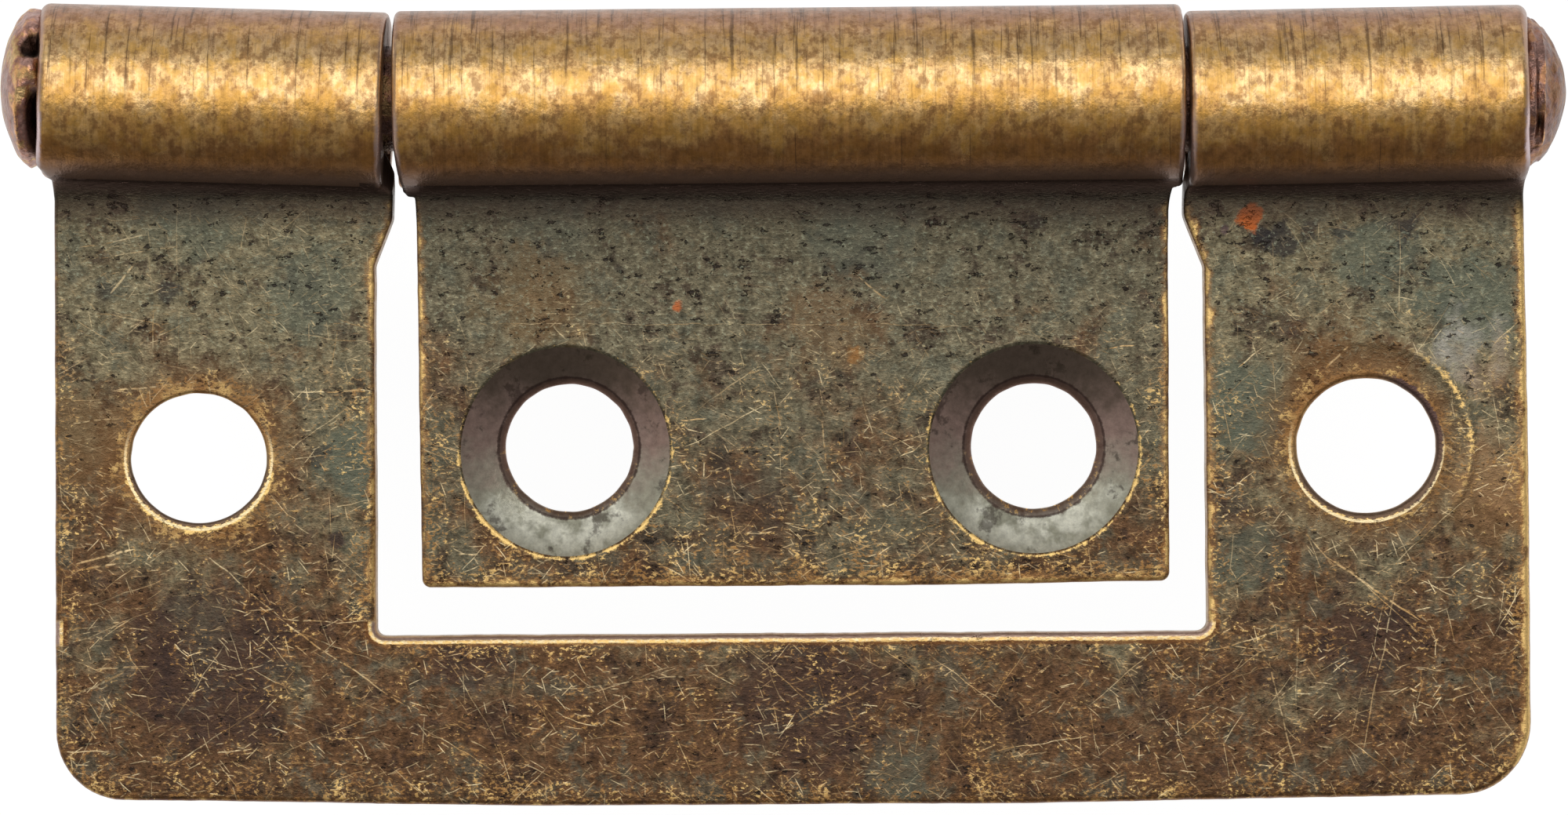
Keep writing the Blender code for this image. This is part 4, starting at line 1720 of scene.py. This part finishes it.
def frame_patina() -> PlatePatina:
    """The framed leaf's patina with its long scratches, patches, rust, old grease and painted
    sheen.
    """
    rust, grease, painted_highlight = paint(180, 92, 38), paint(44, 41, 41), paint(170, 164, 154)
    teal, plum, warm = paint(84, 90, 77), paint(56, 43, 40), paint(104, 76, 46)
    strokes = (
        Stroke(262, 706, 360, 790, 0.03, 0.6),
        Stroke(352, 786, 520, 902, 0.035, 0.8),
        Stroke(1640, 652, 1700, 720, 0.03, 0.5),
        Stroke(1692, 710, 1812, 792, 0.05, 0.9),
        Stroke(1786, 722, 1738, 960, 0.03, 0.5),
        Stroke(1772, 740, 1722, 948, 0.02, 0.4),
        Stroke(1618, 840, 1652, 980, 0.04, 0.5),
        Stroke(1530, 834, 1648, 800, 0.03, 0.6),
        Stroke(88, 540, 160, 532, 0.03, 0.5),
        Stroke(146, 498, 250, 486, 0.04, 0.7),
        Stroke(378, 500, 470, 498, 0.035, 0.7),
        Stroke(95, 720, 172, 700, 0.05, 0.8),
        Stroke(100, 727, 150, 718, 0.05, 0.7),
        Stroke(120, 852, 190, 850, 0.04, 0.6),
        Stroke(98, 886, 160, 856, 0.06, 0.4),
        Stroke(360, 790, 430, 794, 0.03, 0.7),
        Stroke(266, 960, 322, 955, 0.03, 0.7),
        Stroke(140, 376, 170, 338, 0.05, 0.5),
        Stroke(100, 316, 190, 300, 0.03, 0.4),
        Stroke(128, 330, 230, 312, 0.025, 0.4),
        Stroke(1690, 470, 1722, 440, 0.04, 0.8),
        Stroke(1580, 470, 1610, 442, 0.03, 0.7),
        Stroke(1870, 600, 1930, 590, 0.03, 0.6),
        Stroke(700, 880, 900, 860, 0.025, 0.5),
        Stroke(1000, 930, 1150, 850, 0.025, 0.5),
    )
    stains = (
        Stain(395, 370, 2.0, 3.2, 1.1, teal, 0.55),
        Stain(455, 590, 1.5, 2.4, 0.7, teal, 0.7),
        Stain(250, 270, 2.2, 3.2, 1.2, teal, 0.5),
        Stain(1590, 520, 2.0, 2.8, 0.9, teal, 0.7),
        Stain(1880, 390, 2.2, 3.0, 1.0, teal, 0.7),
        Stain(1760, 330, 1.8, 3.0, 0.9, teal, 0.6),
        Stain(1590, 710, 1.5, 2.4, 0.8, teal, 0.5),
        Stain(1150, 985, 1.6, 2.8, 0.9, teal, 0.45),
        Stain(265, 850, 3.4, 4.0, 1.6, plum, 0.65),
        Stain(600, 830, 1.8, 3.0, 0.9, plum, 0.5),
        Stain(1030, 890, 3.2, 4.5, 1.5, plum, 0.6),
        Stain(1740, 820, 2.2, 3.2, 1.2, plum, 0.55),
        Stain(1560, 640, 1.2, 2.0, 0.6, plum, 0.5),
        Stain(110, 560, 2.4, 3.0, 1.4, warm, 0.6),
        Stain(1900, 640, 2.0, 3.0, 1.2, warm, 0.6),
        Stain(1594, 278, 0.47, 0.9, 0.16, rust, 0.93, True),
        Stain(1562, 293, 0.22, 0.3, 0.15, paint(82, 64, 66), 0.8),
        Stain(1630, 306, 0.75, 2.2, 0.4, grease, 0.8),
        Stain(1672, 290, 0.5, 2.2, 0.35, grease, 0.65),
        Stain(1712, 296, 0.4, 2.2, 0.3, grease, 0.6),
        Stain(1790, 292, 0.6, 2.2, 0.35, grease, 0.8),
        Stain(1650, 415, 0.5, 1.6, 0.35, plum, 0.5),
        Stain(215, 370, 0.5, 1.2, 0.25, grease, 0.7),
        Stain(218, 310, 0.3, 0.8, 0.2, grease, 0.7),
        Stain(128, 372, 0.5, 1.2, 0.3, grease, 0.5),
        Stain(408, 580, 0.45, 1.0, 0.2, grease, 0.6),
        Stain(430, 690, 0.4, 1.0, 0.2, plum, 0.8),
        Stain(1720, 520, 3.4, 4.6, 1.8, warm, 0.6),
        Stain(1610, 300, 0.5, 1.2, 0.25, grease, 0.8),
        # Painted sheen: two pale, soft spots of highlight on the right arm.
        Stain(1868, 446, 1.6, 3.6, 1.6, painted_highlight, 0.42),
        Stain(1846, 424, 0.6, 2.6, 0.6, painted_highlight, 0.3),
        Stain(1912, 610, 2.2, 3.6, 1.6, paint(150, 116, 82), 0.45),
        Stain(1900, 470, 1.2, 3.0, 1.0, paint(150, 120, 90), 0.35),
    )
    olive = paint(111, 102, 79)
    return PlatePatina(olive=olive, shaded=0.85, framed=True, strokes=strokes, stains=stains)


def leaf_patina() -> PlatePatina:
    """The inner leaf's patina with its long scratches and spots."""
    grease, plum, teal = paint(44, 40, 37), paint(58, 46, 40), paint(84, 88, 76)
    strokes = (
        Stroke(600, 412, 1290, 415, 0.016, 0.35),
        Stroke(1095, 355, 1128, 380, 0.04, 0.5),
        Stroke(1048, 538, 1052, 590, 0.04, 0.5),
        Stroke(1410, 446, 1448, 440, 0.03, 0.9),
        Stroke(866, 535, 900, 534, 0.035, 0.9),
        Stroke(556, 552, 576, 576, 0.03, 0.6),
        Stroke(584, 706, 612, 706, 0.03, 0.9),
        Stroke(1180, 690, 1200, 730, 0.03, 0.5),
    )
    stains = (
        Stain(1100, 300, 2.4, 3.4, 1.3, teal, 0.5),
        Stain(700, 300, 2.0, 3.4, 1.3, teal, 0.4),
        Stain(960, 640, 2.0, 3.2, 1.2, plum, 0.4),
        Stain(1060, 420, 2.2, 4.2, 1.4, paint(108, 80, 52), 0.45),
        Stain(690, 385, 2.4, 4.6, 1.6, paint(112, 86, 54), 0.45),
        Stain(862, 392, 0.2, 0.7, 0.16, paint(172, 92, 46), 0.8, True),
        Stain(920, 583, 0.6, 1.5, 0.35, grease, 0.5),
        Stain(1320, 280, 0.3, 0.8, 0.2, grease, 0.6),
        Stain(790, 345, 0.3, 0.8, 0.2, grease, 0.6),
        Stain(1092, 450, 0.35, 1.0, 0.25, paint(160, 110, 56), 0.5),
    )
    more = {"strokes": strokes, "stains": stains}
    return PlatePatina(brownness=0.42, upper=0.08, low_flecks=0.05, **more)


@dataclass
class Studio:
    """The pale floor, the soft light and the camera over the hinge.

    The floor lies as far below the closed hinge as the inner leaf reaches when it hangs down.
    """

    aim_x: float = 0.013
    aim_y: float = -0.10
    distance: float = 215.0
    lens: float = 147.45
    sensor: float = 36.0
    nearest: float = 0.01
    farthest: float = 20.0
    floor_size: float = 4000.0
    floor_gap: float = 13.3
    floor_plain: Colour = paint(232, 232, 232)
    floor_shadow: Colour = (0.14, 0.14, 0.14, 1)
    floor_glow: float = 0.94
    box_angle: float = 17.0
    box_distance: float = 600.0
    box_length: float = 900.0
    box_width: float = 540.0
    box_radiance: float = 1.4
    box_tint: tuple[float, float, float] = (1.0, 0.985, 0.96)

    def make_camera(self) -> None:
        """A camera that looks straight down on the closed hinge, knuckles up."""
        lens = bpy.data.cameras.new("camera")
        lens.lens, lens.sensor_width = self.lens, self.sensor
        lens.clip_start, lens.clip_end = self.nearest, self.farthest
        camera = linked("camera", lens)
        camera.location = (self.aim_x * MM, self.aim_y * MM, (AXIS_Z + self.distance) * MM)
        bpy.context.scene.camera = camera

    def make_floor(self) -> None:
        """A white floor that shows white to the camera and keeps a soft shadow."""
        half, low = self.floor_size / 2 * MM, -self.floor_gap * MM
        corners = [(-half, -half, low), (half, -half, low), (half, half, low), (-half, half, low)]
        mesh = bpy.data.meshes.new("floor")
        mesh.from_pydata(corners, [], [(0, 1, 2, 3)])
        floor = linked("floor", mesh)
        material = bpy.data.materials.new("white_floor")
        material.use_nodes = True
        graph = Graph(material.node_tree)
        graph.tree.nodes.clear()
        rays = graph.add("LightPath").outputs
        seen = Wire(graph, rays["Is Camera Ray"]) | rays["Is Glossy Ray"]
        seen = seen | rays["Is Transmission Ray"]
        plain = graph.wire("BsdfDiffuse", {"Color": self.floor_plain})
        shadow = graph.wire("BsdfDiffuse", {"Color": self.floor_shadow})
        glow = graph.wire("Emission", {"Color": (1, 1, 1, 1), "Strength": self.floor_glow})
        white = graph.wire("AddShader", {0: shadow, 1: glow})
        both = graph.wire("MixShader", {0: seen, 1: plain, 2: white})
        graph.tree.nodes.active = graph.add("OutputMaterial", {"Surface": both})
        mesh.materials.append(material)

    def make_light(self) -> None:
        """One wide soft box over the knuckles' side, at the angle that their bright band asks."""
        lamp = bpy.data.lights.new("soft_box", "AREA")
        lamp.shape = "RECTANGLE"
        lamp.size, lamp.size_y = self.box_length * MM, self.box_width * MM
        lamp.energy = self.box_radiance * math.pi * lamp.size * lamp.size_y
        lamp.color = self.box_tint
        light = linked("soft_box", lamp)
        tilt, reach = math.radians(self.box_angle), self.box_distance * MM
        light.location = (0, reach * math.sin(tilt), reach * math.cos(tilt))
        light.rotation_euler = (-tilt, 0, 0)
        light.visible_camera = False

    def make_world(self) -> None:
        """A dim room, darker towards the free edge of the hinge and lighter behind its knuckles."""
        world = bpy.data.worlds.new("room")
        world.use_nodes = True
        bpy.context.scene.world = world
        graph = Graph(world.node_tree)
        across, along, _ = graph.parts(graph.add("TexCoord").outputs["Generated"])
        level = along.span(-1.0, 0.25, 0.0, 1.0) * 0.36 + 0.17
        level = level * across.span(-1.0, 1.0, 1.35, 0.75)
        colour = graph.wire("CombineColor", {0: level, 1: level, 2: level})
        graph.feed(world.node_tree.nodes["Background"].inputs["Color"], colour)

    def build(self) -> None:
        """Makes everything round the object."""
        self.make_camera()
        self.make_floor()
        self.make_light()
        self.make_world()
        bpy.context.scene.view_settings.view_transform = "Standard"


def dress(piece: bpy.types.Object, *materials: bpy.types.Material) -> None:
    """Gives a piece its finishes and logs it.

    Args:
        piece: The piece.
        materials: Its finishes in the order of its zones.
    """
    for material in materials:
        piece.data.materials.append(material)
    log.info("%s: %d faces", piece.name, len(piece.data.polygons))


def main() -> None:
    """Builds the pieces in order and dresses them."""
    logging.basicConfig(level=logging.INFO, format="%(message)s")
    wear, section = Wear(), SheetSection()
    shared = KnuckleBrass().make(wear), CountersinkMetal().make(wear)
    outer = OuterLeaf(section).build()
    dress(outer, PlatePaint("aged_frame_brass", wear, frame_patina()).make(), *shared)
    inner = InnerLeaf(section).build()
    dress(inner, PlatePaint("aged_leaf_brass", wear, leaf_patina()).make(), *shared)
    dress(HingePin().build(), PinBronze().make())
    Studio().build()


if __name__ == "__main__":
    main()
